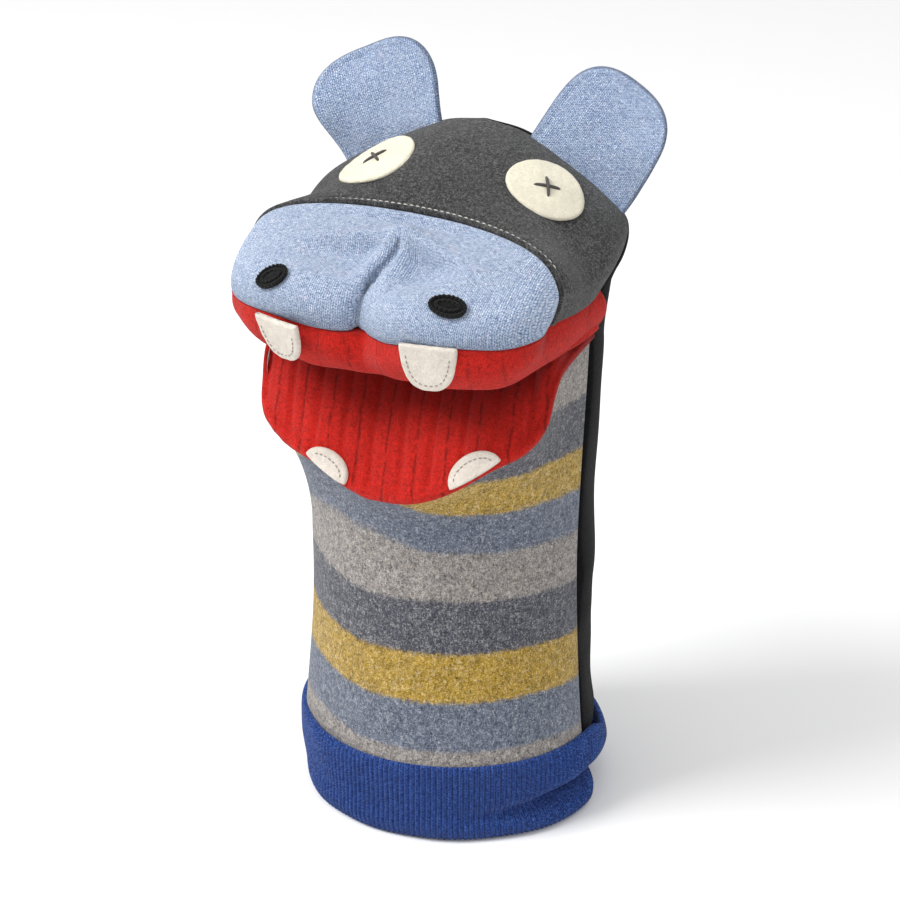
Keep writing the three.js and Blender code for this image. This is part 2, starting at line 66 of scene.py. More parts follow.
SLEEVE_FOOT = 16  # the sleeve ends inside the cuff
WAIST = 112  # height at which it is narrowest
WAIST_RADIUS = 53.7
OVAL = 0.98  # front to back against side to side
TURN_SPLIT = 72.8  # the sleeve's pieces meet at these heights
NOD_SPLIT = 104.0
BACK_CLOSE = 185.0
SHARE = 100  # past its straight part, a panel's q counts hundredths of the rest
ALLOWANCE = 5  # width of the back's seam allowance along the arch

PALATE_LENGTH = 74
RIB = 12.0  # spacing of the ribs in the red cloth
HEM_WIDTH = 2.4  # from the brow seam to its topstitch
EAR_HALF = 23.4  # half the ear's width
EAR_MIDDLE = 17  # height in the ear at which its round end starts
CUFF_RIBS = 180
RIB_WALE = 1.9  # width of a cuff rib, as its material counts it

# Seam lines of the left half: rows of parameter, x, y, z; 0 is the middle of the face.
BROW = [
    (0, 0, -29, 237.8), (0.28, 20, -29.8, 237.4), (0.5, 38, -31.8, 235.8), (0.66, 51, -34, 232.8),
    (0.78, 59, -35.8, 228), (0.88, 62.8, -36.7, 220.5), (0.95, 60.8, -36, 213), (1, 58, -35, 207.5),
]
LIP = [
    (0, 0, -62.4, 202), (0.14, 12, -68.4, 203.2), (0.32, 28.6, -72.5, 206.2), (0.5, 44, -69.5, 206.6),
    (0.66, 55.5, -60.5, 205.8), (0.84, 61.5, -47, 206.6), (1, 58, -35, 207.5),
]
CHEEK = [(0, 58, -35, 207.5), (0.5, 58, -16, 208.2), (1, 57, 5, 208.5)]
ARCH = [
    (0, 0, 23, 258.5), (0.2, 17.5, 23, 255.4), (0.45, 40, 23, 243.5), (0.66, 58, 22.5, 231),
    (0.8, 61, 16, 221), (1, 57, 5, 208.5),
]
RIM = [
    (0, 0, -62.5, 140.7), (0.18, 18, -61.5, 142.7), (0.36, 35, -57, 149.5), (0.5, 47, -50.5, 156.5),
    (0.6, 53.5, -43.5, 162), (0.7, 57, -37, 169.5), (0.8, 57.8, -34, 180), (0.88, 57.5, -26, 187),
    (1, 55, 4, 191.5),
]
LIP_EDGE = [
    (0, 0, -58, 186.5), (0.3, 27, -65, 188.5), (0.5, 43, -63, 189), (0.68, 53, -51, 189),
    (0.84, 55, -28, 190), (0.93, 55.6, -14, 191), (1, 55.4, 4.5, 192.6),
]


# ---- Curves and surfaces

def smooth(x):
    x = np.clip(x, 0, 1)
    return x * x * (3 - 2 * x)


def bell(x, middle, width):
    return np.exp(-(((x - middle) / width) ** 2))


def unit(v):
    return v / np.maximum(np.linalg.norm(v, axis=-1, keepdims=True), 1e-9)


def stack(x, y, z):
    return np.stack(np.broadcast_arrays(x, y, z), -1).astype(float)


def hermite(p0, t0, p1, t1, t):
    t = np.asarray(t, float)[..., None]
    return (
        (2 * t**3 - 3 * t**2 + 1) * p0
        + (t**3 - 2 * t**2 + t) * t0
        + (3 * t**2 - 2 * t**3) * p1
        + (t**3 - t**2) * t1
    )


def along(rows, s):
    table = np.asarray(rows, float)
    knots, values = table[:, 0], table[:, 1:]
    last = len(knots) - 1
    before = np.maximum(np.arange(last + 1) - 1, 0)
    after = np.minimum(np.arange(last + 1) + 1, last)
    slopes = (values[after] - values[before]) / (knots[after] - knots[before])[:, None]
    s = np.clip(np.asarray(s, float), knots[0], knots[-1])
    i = np.clip(np.searchsorted(knots, s, side="right") - 1, 0, last - 1)
    span = knots[i + 1] - knots[i]
    wide = span[..., None]
    share = (s - knots[i]) / span
    return hermite(values[i], slopes[i] * wide, values[i + 1], slopes[i + 1] * wide, share)


def mirrored(rows, s):
    s = np.asarray(s, float)
    p = along(rows, np.abs(s))
    p[..., 0] *= np.where(s < 0, -1, 1)
    return p


def sleeve_radius(z):
    cuff_top = 31
    widening = ((WAIST - np.maximum(z, cuff_top)) / (WAIST - cuff_top)) ** 2
    low = WAIST_RADIUS + 3.6 * widening - 2.8 * smooth((cuff_top - z) / 12)
    high = WAIST_RADIUS + 1.3 * ((z - WAIST) / 78) ** 2
    return np.where(z < WAIST, low, high)


def sleeve_point(s, z, side):
    """s runs from the right side seam (-1) to the left one (1); side is -1 in front and 1 behind."""
    radius = sleeve_radius(z)
    shift = 4.5 * smooth((z - NOD_SPLIT) / 88) * np.abs(s) ** 6
    angle = s * math.pi / 2
    return stack(radius * np.sin(angle), OVAL * radius * np.cos(angle) * side + shift, z)


def rim(s):
    """The jaw's front edge: the stuffed hand twists it, so its halves differ by a few millimetres."""
    p = mirrored(RIM, s)
    p[..., 1] += 3 * bell(s, 0.8, 0.14) - 4 * bell(s, -0.68, 0.2)
    p[..., 2] += 5 * bell(s, -0.22, 0.14) - 3 * bell(s, -0.65, 0.16) + 2.5 * bell(s, 0.47, 0.12)
    return p


def front_flare(s, t):
    p0 = sleeve_point(s, np.full_like(s, NOD_SPLIT), -1)
    p1 = rim(s)
    length = np.linalg.norm(p1 - p0, axis=-1, keepdims=True)
    upright = (np.abs(s) ** 4)[..., None]
    start = stack(0, 0.15 * (1 - upright[..., 0]), 1)
    end = unit(stack(p1[..., 0] / 2, p1[..., 1], 0)) * 0.8 + [0, 0, 0.6]
    end = end * (1 - upright) + np.array([0, 0, 1]) * upright
    return hermite(p0, start * length, p1, end * length, t)


def front_panel(s, q):
    """q is the height up the sleeve to NOD_SPLIT, and then counts the share of the flare."""
    tube = sleeve_point(s, np.minimum(q, NOD_SPLIT), -1)
    flare = front_flare(s, np.clip((q - NOD_SPLIT) / SHARE, 0, 1))
    return np.where((q <= NOD_SPLIT)[..., None], tube, flare)


def back_close(s, t):
    p0 = mirrored(ARCH, s)
    p1 = sleeve_point(s, np.full_like(s, BACK_CLOSE), 1)
    length = np.linalg.norm(p1 - p0, axis=-1, keepdims=True)
    backwards = np.maximum(0, 1 - (s / 0.9) ** 2)
    start = unit(stack(0, backwards, 0.55 * backwards - 1)) * 0.85 * length
    return hermite(p0, start, p1, np.array([0, 0, -1.0]) * length, t)


def back_panel(s, q):
    """q is the height up to BACK_CLOSE, and then counts the share of the way to the arch seam.

    Past that seam the cloth turns into the head as an allowance, whose millimetres q then counts."""
    arch = BACK_CLOSE + SHARE
    tube = sleeve_point(s, np.minimum(q, BACK_CLOSE), 1)
    close = back_close(s, np.clip(1 - (q - BACK_CLOSE) / SHARE, 0, 1))
    p = np.where((q <= BACK_CLOSE)[..., None], tube, close)
    z = p[..., 2]
    from_arch = smooth((arch - q) / 30)
    inward = 5.5 * bell(np.abs(s), 0.66, 0.22) * bell(z, 216, 22) * from_arch
    inward = inward + 2.5 * bell(np.abs(s), 0.66, 0.3) * bell(z, 42, 26)
    p = p - unit(stack(p[..., 0], p[..., 1], 0)) * inward[..., None]
    allowance = np.maximum(q - arch, 0)
    return p - unit(p - [0, 4, 200]) * allowance[..., None]


def crown_surface(s, t):
    """From the brow seam up to the arch seam; each shoulder beside an eye is a little hollow."""
    low, high = mirrored(BROW, s), mirrored(ARCH, s)
    p = low + (high - low) * t[..., None]
    out = unit(stack(p[..., 0], 0, p[..., 2] - 203))
    shoulder = bell(np.abs(s), 0.7, 0.2) * bell(t, 0.4, 0.28)
    return p + out * (4 * t * (1 - t) * (4.5 - 8 * shoulder))[..., None]


def snout_surface(s, t):
    """From the lip seam it swells forward, and then runs back to the brow."""
    p0, p1 = mirrored(LIP, s), mirrored(BROW, s)
    length = 0.95 * np.linalg.norm(p1 - p0, axis=-1, keepdims=True)
    lean = np.sign(s) * np.abs(s) ** 3
    start = unit(stack(0.5 * lean, -0.62, 1)) * length
    end = unit(stack(-0.3 * lean, 1, 0.3)) * length
    return hermite(p0, start, p1, end, t)


def lip_seam(s):
    """The snout's foot, and on each side of it the foot of the cheek."""
    share = 0.75
    under_snout = mirrored(LIP, np.clip(s / share, -1, 1))
    cheek = along(CHEEK, np.clip((np.abs(s) - share) / (1 - share), 0, 1))
    cheek[..., 0] *= np.where(s < 0, -1, 1)
    return np.where((np.abs(s) < share)[..., None], under_snout, cheek)


def lip_edge(s):
    """The lower edge of the upper lip, lowest a little to the right of the middle."""
    p = mirrored(LIP_EDGE, s)
    lift = 3.2 * np.maximum(s, 0) + 4.2 * smooth((-s - 0.22) / 0.3)
    p[..., 2] += lift * smooth((1 - np.abs(s)) / 0.3)
    return p


def fold_line(s):
    return stack(50 * s + 3 * s**5, -15 + 14.5 * s**4, 197.5 - 2.5 * s**4)


def lip_band(s, t):
    p0 = lip_seam(s)
    out = unit(stack(p0[..., 0], p0[..., 1] + 15, 0))
    swell = 3.4 * np.sin(math.pi * np.clip(t, 0, 1))
    return p0 + (lip_edge(s) - p0) * t[..., None] + out * swell[..., None]


def upper_palate(s, t):
    p0 = lip_edge(s)
    rise = 5.5 * np.sin(math.pi * np.clip(t, 0, 1)) ** 0.7
    return p0 + (fold_line(s) - p0) * t[..., None] + stack(0, 0, rise)


def lower_palate(s, t):
    """Loose cloth: it hangs steeply behind the rim and leans back only near the fold."""
    p0 = fold_line(s)
    slack = 34 * t**2 * (1 - t)
    return p0 + (rim(s) - p0) * t[..., None] + stack(0, -0.77 * slack, 0.64 * slack)


def rolled_palate(s, t):
    """The lower palate with its rounded rim, past which the red cloth turns down over the jaw's front."""
    length = np.linalg.norm(rim(s) - sleeve_point(s, np.full_like(s, NOD_SPLIT), -1), axis=-1)
    total = 0
    for offset, weight in ((-0.022, 1), (-0.011, 2), (0, 3), (0.011, 2), (0.022, 1)):
        at_t = t + offset
        inside = lower_palate(s, np.minimum(at_t, 1))
        over = front_flare(s, 1 - np.maximum(at_t - 1, 0) * PALATE_LENGTH / length)
        total = total + weight / 9 * np.where((at_t <= 1)[..., None], inside, over)
    return total


# ---- Meshes

def to_mesh(name, points, faces, attributes, flat=0):
    """A smooth-shaded mesh object whose last few faces are flat; the materials read its attributes."""
    mesh = bpy.data.meshes.new(name)
    placed = np.array(points, float)
    placed[:, 1] += CENTRE_Y / MM
    mesh.from_pydata((placed * MM).tolist(), [], faces)
    for key, values in attributes.items():
        layer = mesh.attributes.new(key, "FLOAT_VECTOR", "POINT")
        layer.data.foreach_set("vector", np.asarray(values, np.float32).ravel())
    mesh.polygons.foreach_set("use_smooth", np.arange(len(mesh.polygons)) < len(mesh.polygons) - flat)
    mesh.update()
    obj = bpy.data.objects.new(name, mesh)
    bpy.context.scene.collection.objects.link(obj)
    return obj


def grid_normals(p):
    du = np.gradient(p, axis=1)
    dv = np.gradient(p, axis=0)
    return unit(np.cross(du, dv))


def arc_lengths(p, axis):
    steps = np.linalg.norm(np.diff(p, axis=axis), axis=-1)
    zero = np.zeros_like(np.take(steps, [0], axis=axis))
    return np.cumsum(np.concatenate([zero, steps], axis=axis), axis=axis)


def edge_distance(p, edges):
    """Distance along the cloth to the nearest of its named borders."""
    across, up = arc_lengths(p, 1), arc_lengths(p, 0)
    far = {
        "left": across,
        "right": across[:, -1:] - across,
        "low": up,
        "high": up[-1:] - up,
    }
    return np.minimum.reduce([np.broadcast_to(far[e], across.shape) for e in edges] or [across * 0 + 99])


def quads(columns, rows, start, turned):
    i, j = np.meshgrid(np.arange(columns - 1), np.arange(rows - 1))
    a = (start + j * columns + i).ravel()
    corners = [a, a + 1, a + 1 + columns, a + columns]
    return np.stack(corners[::-1] if turned else corners, 1).tolist()


def sheet(
    name, surface, u, v, thickness=CLOTH, relief=None, seams=(), corners=(), weave=None, turned=False,
    runs_on=(), crease=None,
):
    """A closed piece of cloth: surface(u, v), thickened inwards, with rounded edges at its seams.

    At a corner, where two cloths meet at an angle, each one thins out so that neither shows through.
    Past an edge in runs_on the cloth goes on in another piece, and both share their shape there."""
    if "low" in runs_on:
        v = np.concatenate([[2 * v[0] - v[1]], v])
    if "high" in runs_on:
        v = np.concatenate([v, [2 * v[-1] - v[-2]]])
    uu, vv = np.meshgrid(u, v)
    p = surface(uu, vv)
    out = grid_normals(p) * (-1 if turned else 1)
    near = edge_distance(p, seams)
    if relief is not None:
        p = p + out * relief(uu, vv, near, p)[..., None]
    half = thickness / 2
    inside = np.clip(1 - near / half, 0, 0.99)
    drop = half * (1 - np.sqrt(1 - inside**2))
    outer = p - out * drop[..., None]
    depth = np.minimum(thickness - drop, drop + 0.15 + 0.6 * edge_distance(p, corners))
    inner = p - out * depth[..., None]
    if weave is None:
        across, up = arc_lengths(p, 1), arc_lengths(p, 0)
        across = across - across[:, -1:] / 2
    else:
        across, up = weave(uu, vv, p)
    if crease is not None:
        near = np.minimum(near, crease(uu, vv, p))
    # weave.z holds the distance to the nearest seam or crease; the knit materials paint shade where it is
    # small.
    thread = stack(across, up, np.minimum(near, 20))
    kept = slice(1 if "low" in runs_on else 0, -1 if "high" in runs_on else None)
    face_out = grid_normals(outer)[kept] * (-1 if turned else 1)
    face_in = grid_normals(inner)[kept] * (1 if turned else -1)
    outer, inner, thread = outer[kept], inner[kept], thread[kept]
    rows, columns = outer.shape[:2]
    count = rows * columns
    faces = quads(columns, rows, 0, turned) + quads(columns, rows, count, not turned)
    ring = (
        list(range(columns))
        + [j * columns + columns - 1 for j in range(1, rows)]
        + [(rows - 1) * columns + i for i in range(columns - 2, -1, -1)]
        + [j * columns for j in range(rows - 2, 0, -1)]
    )
    for a, b in zip(ring, ring[1:] + ring[:1]):
        rim_face = [a, a + count, b + count, b]
        faces.append(rim_face[::-1] if turned else rim_face)
    points = np.concatenate([outer.reshape(-1, 3), inner.reshape(-1, 3)])
    threads = np.concatenate([thread.reshape(-1, 3)] * 2)
    piece = to_mesh(name, points, faces, {"rest": points, "weave": threads}, flat=len(ring))
    if runs_on:
        normals = np.concatenate([face_out.reshape(-1, 3), face_in.reshape(-1, 3)])
        piece.data.normals_split_custom_set_from_vertices(normals.tolist())
    return piece


def steps(low, high, length, spacing=GRID):
    return np.linspace(low, high, max(3, int(round(length / spacing)) + 1))


def gentle(p, seed, size, depth):
    """Soft lumps over a surface: a few sine waves in fixed random directions."""
    random = np.random.default_rng(seed)
    total = np.zeros(p.shape[:-1])
    for _ in range(5):
        direction = unit(random.normal(size=3)) * 2 * math.pi / (size * random.uniform(0.7, 1.5))
        total += np.sin(p @ direction + random.uniform(0, 6.3))
    return depth * total / 3


# ---- Materials

class Shader:
    """A material with a few short names for the nodes that it needs."""

    def __init__(self, name, roughness=0.95, sheen=0.3):
        self.material = bpy.data.materials.new(name)
        self.material.use_nodes = True
        self.tree = self.material.node_tree
        self.bsdf = self.tree.nodes["Principled BSDF"]
        self.bsdf.inputs["Roughness"].default_value = roughness
        self.bsdf.inputs["Specular IOR Level"].default_value = 0.15
        self.bsdf.inputs["Sheen Weight"].default_value = sheen
        self.bsdf.inputs["Sheen Roughness"].default_value = 0.5
        self.rest = self.attribute("rest")
        self.weave = self.attribute("weave")

    def node(self, kind, **settings):
        node = self.tree.nodes.new(kind)
        for key, value in settings.items():
            setattr(node, key, value)
        return node

    def link(self, value, socket):
        if isinstance(value, bpy.types.NodeSocket):
            self.tree.links.new(value, socket)
        elif value is not None:
            socket.default_value = value

    def attribute(self, name):
        return self.node("ShaderNodeAttribute", attribute_name=name).outputs["Vector"]

    def math(self, operation, a, b=None):
        node = self.node("ShaderNodeMath", operation=operation)
        for value, socket in zip((a, b), node.inputs):
            self.link(value, socket)
        return node.outputs[0]

    def times(self, a, b):
        return self.math("MULTIPLY", a, b)

    def plus(self, a, b):
        return self.math("ADD", a, b)

    def minus(self, a, b):
        return self.math("SUBTRACT", a, b)

    def absolute(self, a):
        return self.math("ABSOLUTE", a)

    def off_middle(self, a):
        """Distance of a value from one half."""
        return self.absolute(self.minus(a, 0.5))

    def vector(self, operation, a, b=None):
        node = self.node("ShaderNodeVectorMath", operation=operation)
        self.link(a, node.inputs[0])
        self.link(b, node.inputs[1])
        return node.outputs[0]

    def axis(self, vector, name):
        node = self.node("ShaderNodeSeparateXYZ")
        self.link(vector, node.inputs[0])
        return node.outputs[name]

    def noise(self, vector, scale, detail=2.0, roughness=0.5, distortion=0.0):
        """Noise with this many features a millimetre; its value averages one half."""
        node = self.node("ShaderNodeTexNoise")
        for key, value in (
            ("Vector", vector), ("Scale", scale), ("Detail", detail),
            ("Roughness", roughness), ("Distortion", distortion),
        ):
            self.link(value, node.inputs[key])
        return node.outputs["Fac"]

    def ramp(self, value, stops):
        node = self.node("ShaderNodeValToRGB")
        elements = node.color_ramp.elements
        while len(elements) < len(stops):
            elements.new(0.5)
        for element, (position, color) in zip(elements, stops):
            element.position = position
            element.color = (*color, 1)
        self.link(value, node.inputs[0])
        return node.outputs[0]

    def between(self, value, low, high):
        """0 below low, 1 above high, and smooth between them."""
        node = self.node("ShaderNodeMapRange", interpolation_type="SMOOTHSTEP")
        for v, key in ((value, "Value"), (low, "From Min"), (high, "From Max")):
            self.link(v, node.inputs[key])
        return node.outputs[0]

    def mix(self, share, a, b, blend="MIX"):
        node = self.node("ShaderNodeMix", data_type="RGBA", blend_type=blend)
        self.link(share, node.inputs[0])
        for value, socket in ((a, node.inputs[6]), (b, node.inputs[7])):
            if isinstance(value, tuple):
                value = (*value, 1)
            self.link(value, socket)
        return node.outputs[2]

    def tinted(self, color, tint):
        """A colour times another."""
        return self.mix(1.0, color, tint, "MULTIPLY")

    def finish(self, color, height, depth):
        """The finished material: its colour, and relief of this many millimetres a unit of height."""
        bump = self.node("ShaderNodeBump")
        self.link(height, bump.inputs["Height"])
        bump.inputs["Distance"].default_value = depth * MM
        bump.inputs["Strength"].default_value = 1.0
        self.link(color, self.bsdf.inputs["Base Color"])
        self.link(bump.outputs[0], self.bsdf.inputs["Normal"])
        return self.material


def rgb(red, green, blue):
    """Linear colour from 0-255 display values."""
    channel = lambda c: c / 12.92 if c <= 0.04045 else ((c + 0.055) / 1.055) ** 2.4
    return tuple(channel(c / 255) for c in (red, green, blue))


def scaled(color, factor):
    return tuple(min(1, c * factor) for c in color)


def felt_texture(shader, grain=1.0):
    """Height of matted fibres: three crossing sets of stretched, wandering noise."""
    total = 0
    for stretch in ((1.5, 0.55, 0.7), (0.55, 0.7, 1.5), (0.8, 1.5, 0.5)):
        spread = tuple(grain * c for c in stretch)
        fibre = shader.noise(shader.vector("MULTIPLY", shader.rest, spread), 1.0, 3, 0.6, 1.5)
        total = shader.plus(total, shader.times(fibre, 1 / 3))
    return total


def felt_height(shader, fibres, fineness):
    """The matted fibres with a finer nap on them."""
    fine = shader.noise(shader.rest, fineness, 2, 0.7)
    return shader.plus(shader.times(fibres, 2.0), shader.times(fine, 0.5))


def stray_fibres(shader):
    """Thin pale hairs on the nap: the crests of a few warped noises; 1 on a hair."""
    hairs = 0
    for shift, scale in (((5.0, 1.0, 9.0), 0.5), ((31.0, 17.0, 3.0), 0.62)):
        place = shader.vector("ADD", shader.rest, shift)
        crest = shader.off_middle(shader.noise(place, scale, 1, 0.4, 1.0))
        line = shader.between(crest, 0.012, 0.0)
        patch = shader.between(shader.noise(place, 0.33, 1), 0.52, 0.66)
        hairs = shader.math("MAXIMUM", hairs, shader.times(line, patch))
    return hairs


def knit_texture(shader, wale, course, wander):
    """Height of stocking-stitch knitting: columns of small V-shaped stitches, wandering sideways."""
    wobble = shader.noise(shader.rest, 0.35, 2)
    x = shader.math("DIVIDE", shader.axis(shader.weave, "X"), wale)
    x = shader.plus(x, shader.times(wobble, wander))
    y = shader.math("DIVIDE", shader.axis(shader.weave, "Y"), course)
    side = shader.off_middle(shader.math("FRACT", x))
    phase = shader.math("FRACT", shader.plus(y, shader.times(side, -1.5)))
    leg = shader.math("SINE", shader.times(side, 2 * math.pi))
    loop = shader.math("SINE", shader.times(phase, math.pi))
    return shader.times(shader.math("POWER", loop, 0.6), shader.plus(leg, 0.15))


def felt_material(name, color, contrast=0.45, bump=0.35, sheen=0.3, light=1.5):
    """Matted wool of one colour, with darker and lighter fibres mixed through it."""
    shader = Shader(name, sheen=sheen)
    speck = felt_texture(shader)
    stops = [(0.4, scaled(color, 1 - contrast)), (0.5, color), (0.58, scaled(color, light))]
    base = shader.ramp(speck, stops)
    cloud = shader.between(shader.noise(shader.rest, 0.08, 3, 0.6), 0.3, 0.7)
    base = shader.mix(cloud, shader.tinted(base, (0.88, 0.88, 0.88)), base)
    return shader.finish(base, felt_height(shader, speck, 1.8), bump)


def striped_base(shader):
    """The stripes' colours, from the foot up, with ragged edges; weave.y is the height up the cloth."""
    beige, blue = rgb(158, 151, 143), rgb(112, 121, 137)
    mustard, dark = rgb(190, 154, 52), rgb(88, 89, 97)
    edges = [37.8, 57.4, 76.8, 98.0, 117.3, 134.0, 149.8, 171.0]
    colours = [blue, mustard, dark, beige, blue, mustard, dark, beige]
    softness = 1.2
    ragged = shader.times(shader.minus(shader.noise(shader.rest, 0.5, 3, 0.7), 0.5), 4.2)
    height = shader.plus(shader.axis(shader.weave, "Y"), ragged)
    base = beige
    for edge, colour in zip(edges, colours):
        base = shader.mix(shader.between(height, edge - softness, edge + softness), base, colour)
    return base


def striped_material():
    """Felted stripes of mixed wool: dark clumps, pale flecks, a few long hairs and bluish fibres."""
    shader = Shader("striped_felt", sheen=0.2)
    base = striped_base(shader)
    speck = felt_texture(shader)
    clump = shader.noise(shader.rest, 0.32, 3, 0.65, 1.0)
    base = shader.mix(shader.between(clump, 0.38, 0.62), shader.tinted(base, (0.72, 0.72, 0.76)), base)
    shade = [(0.4, (0.22, 0.23, 0.27)), (0.5, (0.9, 0.9, 0.9)), (0.6, (1.0, 1.0, 1.0))]
    base = shader.tinted(base, shader.ramp(speck, shade))
    pale = shader.mix(0.55, shader.tinted(base, (1.7, 1.7, 1.7)), rgb(200, 198, 192))
    base = shader.mix(shader.times(shader.between(speck, 0.51, 0.6), 0.7), base, pale)
    base = shader.mix(shader.times(stray_fibres(shader), 0.5), base, rgb(225, 224, 222))
    tint = shader.noise(shader.vector("ADD", shader.rest, (40.0, 7.0, 3.0)), 0.9, 3, 0.7)
    cool = shader.tinted(base, (0.86, 0.95, 1.22))
    base = shader.mix(shader.times(shader.between(tint, 0.5, 0.72), 0.5), base, cool)
    return shader.finish(base, felt_height(shader, speck, 2.2), 0.5)


def knit_material(
    name, color, dark, light, wale=1.4, course=1.05, bump=0.4, sheen=0.3, wander=0.9, foot=0.0,
):
    """Heathered fine knitting with visible stitches, with painted shade in their hollows and painted
    highlights on their crests; painted shade darkens seams and creases (small weave.z).

    foot is how far up from the lower edge painted shade darkens the cloth."""
    shader = Shader(name, sheen=sheen)
    stitches = knit_texture(shader, wale, course, wander)
    speck = shader.noise(shader.vector("MULTIPLY", shader.rest, (1.0, 1.0, 1.6)), 0.95, 3, 0.65, 0.8)
    base = shader.ramp(speck, [(0.3, dark), (0.5, color), (0.7, light)])
    # Painted shade in the stitches' hollows and painted highlights on their crests: the colour follows the
    # stitches' height.
    shade = [(0.05, (0.2, 0.26, 0.38)), (0.5, (0.96, 0.97, 1)), (1.0, (1.22, 1.2, 1.14))]
    base = shader.mix(0.85, base, shader.tinted(base, shader.ramp(stitches, shade)))
    flock = shader.noise(shader.vector("ADD", shader.rest, (11.0, 3.0, 29.0)), 0.22, 3, 0.6)
    pink = shader.tinted(base, (1.1, 0.97, 0.96))
    base = shader.mix(shader.times(shader.between(flock, 0.52, 0.7), 0.6), base, pink)
    if foot:
        # Painted shade: the cloth darkens towards its lower edge, up to foot millimetres along weave.y.
        low = shader.minus(1.0, shader.between(shader.axis(shader.weave, "Y"), 0.0, foot))
        base = shader.mix(low, base, shader.tinted(base, (0.62, 0.66, 0.7)))
    # Painted shade darkens seams and creases, where weave.z is small.
    crease = shader.minus(1.0, shader.between(shader.axis(shader.weave, "Z"), 0.2, 1.3))
    base = shader.mix(shader.times(crease, 0.7), base, scaled(dark, 0.3))
    return shader.finish(base, shader.plus(stitches, shader.times(speck, 0.6)), bump)


def mouth_material(name, groove_shade, depth_shade):
    """Felted red rib: broad ribs with painted shade in the sunken lines between them; weave.x runs across
    them.

    The last argument is how dark painted shade makes the cloth towards the fold, from which weave.y is
    measured."""
    color = rgb(178, 30, 22)
    shader = Shader(name, sheen=0.07)
    speck = felt_texture(shader, 1.1)
    base = shader.ramp(speck, [(0.4, scaled(color, 0.55)), (0.5, color), (0.6, scaled(color, 1.35))])
    bend = shader.times(shader.minus(shader.noise(shader.rest, 0.12, 2), 0.5), 2.4)
    across = shader.plus(shader.axis(shader.weave, "X"), bend)
    line = shader.off_middle(shader.math("FRACT", shader.math("DIVIDE", across, RIB)))
    groove = shader.between(line, 0.5 - 0.08, 0.5)
    broken = shader.between(shader.noise(shader.rest, 0.3, 3, 0.6), 0.35, 0.55)
    groove = shader.times(groove, broken)
    # Painted shade in the sunken grooves between the ribs.
    base = shader.mix(shader.times(groove, groove_shade), base, scaled(color, 0.22))
    # Painted shade deep in the mouth: the cloth darkens towards the fold.
    if depth_shade:
        shaded = shader.minus(1.0, shader.between(shader.axis(shader.weave, "Y"), 12.0, 58.0))
        base = shader.mix(shader.times(shaded, depth_shade), base, scaled(color, 0.12))
    height = shader.minus(shader.times(speck, 2.0), shader.times(groove, 0.7))
    return shader.finish(base, height, 0.4)


def thread_material(name, color, bump=0.15):
    """Thread or yarn: twisted fibres."""
    shader = Shader(name, 0.8, 0.1)
    grain = shader.noise(shader.rest, 3.0, 3, 0.6)
    base = shader.ramp(grain, [(0.3, scaled(color, 0.6)), (0.55, color), (0.8, scaled(color, 1.35))])
    return shader.finish(base, grain, bump)


materials = {
    "crown": felt_material("crown_felt", rgb(50, 50, 50), contrast=0.8, bump=0.5, light=3.6, sheen=0.2),
    "back": felt_material("back_felt", rgb(7, 7, 10), contrast=0.6, light=2.6, sheen=0.04),
    "stripes": striped_material(),
    # The palate's red gets painted shade in its grooves and towards the fold; the lip's red only in its
    # grooves.
    "mouth": mouth_material("mouth_knit", 0.62, 0.5),
    "lip": mouth_material("lip_knit", 0.3, 0),
    # The snout's knit gets painted shade along its lowest 16 mm, by the lip seam.
    "snout": knit_material(
        "snout_knit", rgb(176, 193, 220), rgb(112, 134, 176), rgb(228, 236, 250), foot=16.0,
    ),
    "ear": knit_material("ear_knit", rgb(160, 179, 210), rgb(100, 123, 168), rgb(214, 226, 244)),
    "cuff": knit_material(
        "cuff_knit", rgb(38, 68, 136), rgb(14, 34, 84), rgb(74, 112, 186),
        wale=RIB_WALE, course=1.2, bump=0.3, sheen=0.1, wander=0.0,
    ),
    "eye": felt_material("eye_felt", rgb(218, 212, 192), contrast=0.1, bump=0.2, sheen=0.1, light=1.08),
    "tooth": felt_material("white_felt", rgb(210, 202, 191), contrast=0.12, bump=0.25, sheen=0.1, light=1.1),
    "nostril": felt_material("black_felt", rgb(14, 14, 15), contrast=0.4, bump=0.3, sheen=0.1),
    "yarn": thread_material("dark_yarn", rgb(80, 76, 74)),
    "thread": thread_material("sewing_thread", rgb(215, 212, 205), 0.05),
    "grey_thread": thread_material("tooth_thread", rgb(150, 144, 138), 0.05),
    "black_thread": thread_material("black_thread", rgb(18, 18, 19), 0.1),
}


def dress(obj, material):
    obj.data.materials.append(materials[material])
    return obj


def at(x, y, z):
    """A point in millimetres about the cuff's centre line, in the frame's metres."""
    return Vector((x * MM, CENTRE_Y + y * MM, z * MM))


# ---- Sleeve and back of the head

def striped_weave(s, q, p):
    """Place in the stripes, which are nearly level, but drawn up towards the left and over the chin."""
    height = p[..., 2]
    climb = smooth((height - NOD_SPLIT) / 40)
    left = 4.0 * smooth((-s - 0.05) / 0.45) * (1 - climb)
    right = 1.5 * smooth((s - 0.7) / 0.3)
    chin = 12 * bell(s, -0.06, 0.2) + 9 * smooth((-s - 0.1) / 0.2) * smooth((s + 0.7) / 0.3)
    return s * math.pi / 2 * WAIST_RADIUS, height - left + right - climb * chin


def side_seam(near):
    return -0.9 * np.exp(-near / 1.6)


def front_relief(s, q, near, p):
    return gentle(p, 3, 42, 0.7) * smooth(near / 12) + side_seam(near)


def back_relief(s, q, near, p):
    """The back cloth bellies out in places beside the side seams."""
    z = p[..., 2]
    bellies = 1.3 * bell(z, 96, 9) + 0.9 * bell(z, 165, 22) - 1.6 * bell(z, 66, 9)
    side = smooth((np.abs(s) - 0.55) / 0.4)
    return gentle(p, 5, 45, 0.8) * smooth(near / 12) + bellies * side + side_seam(near)


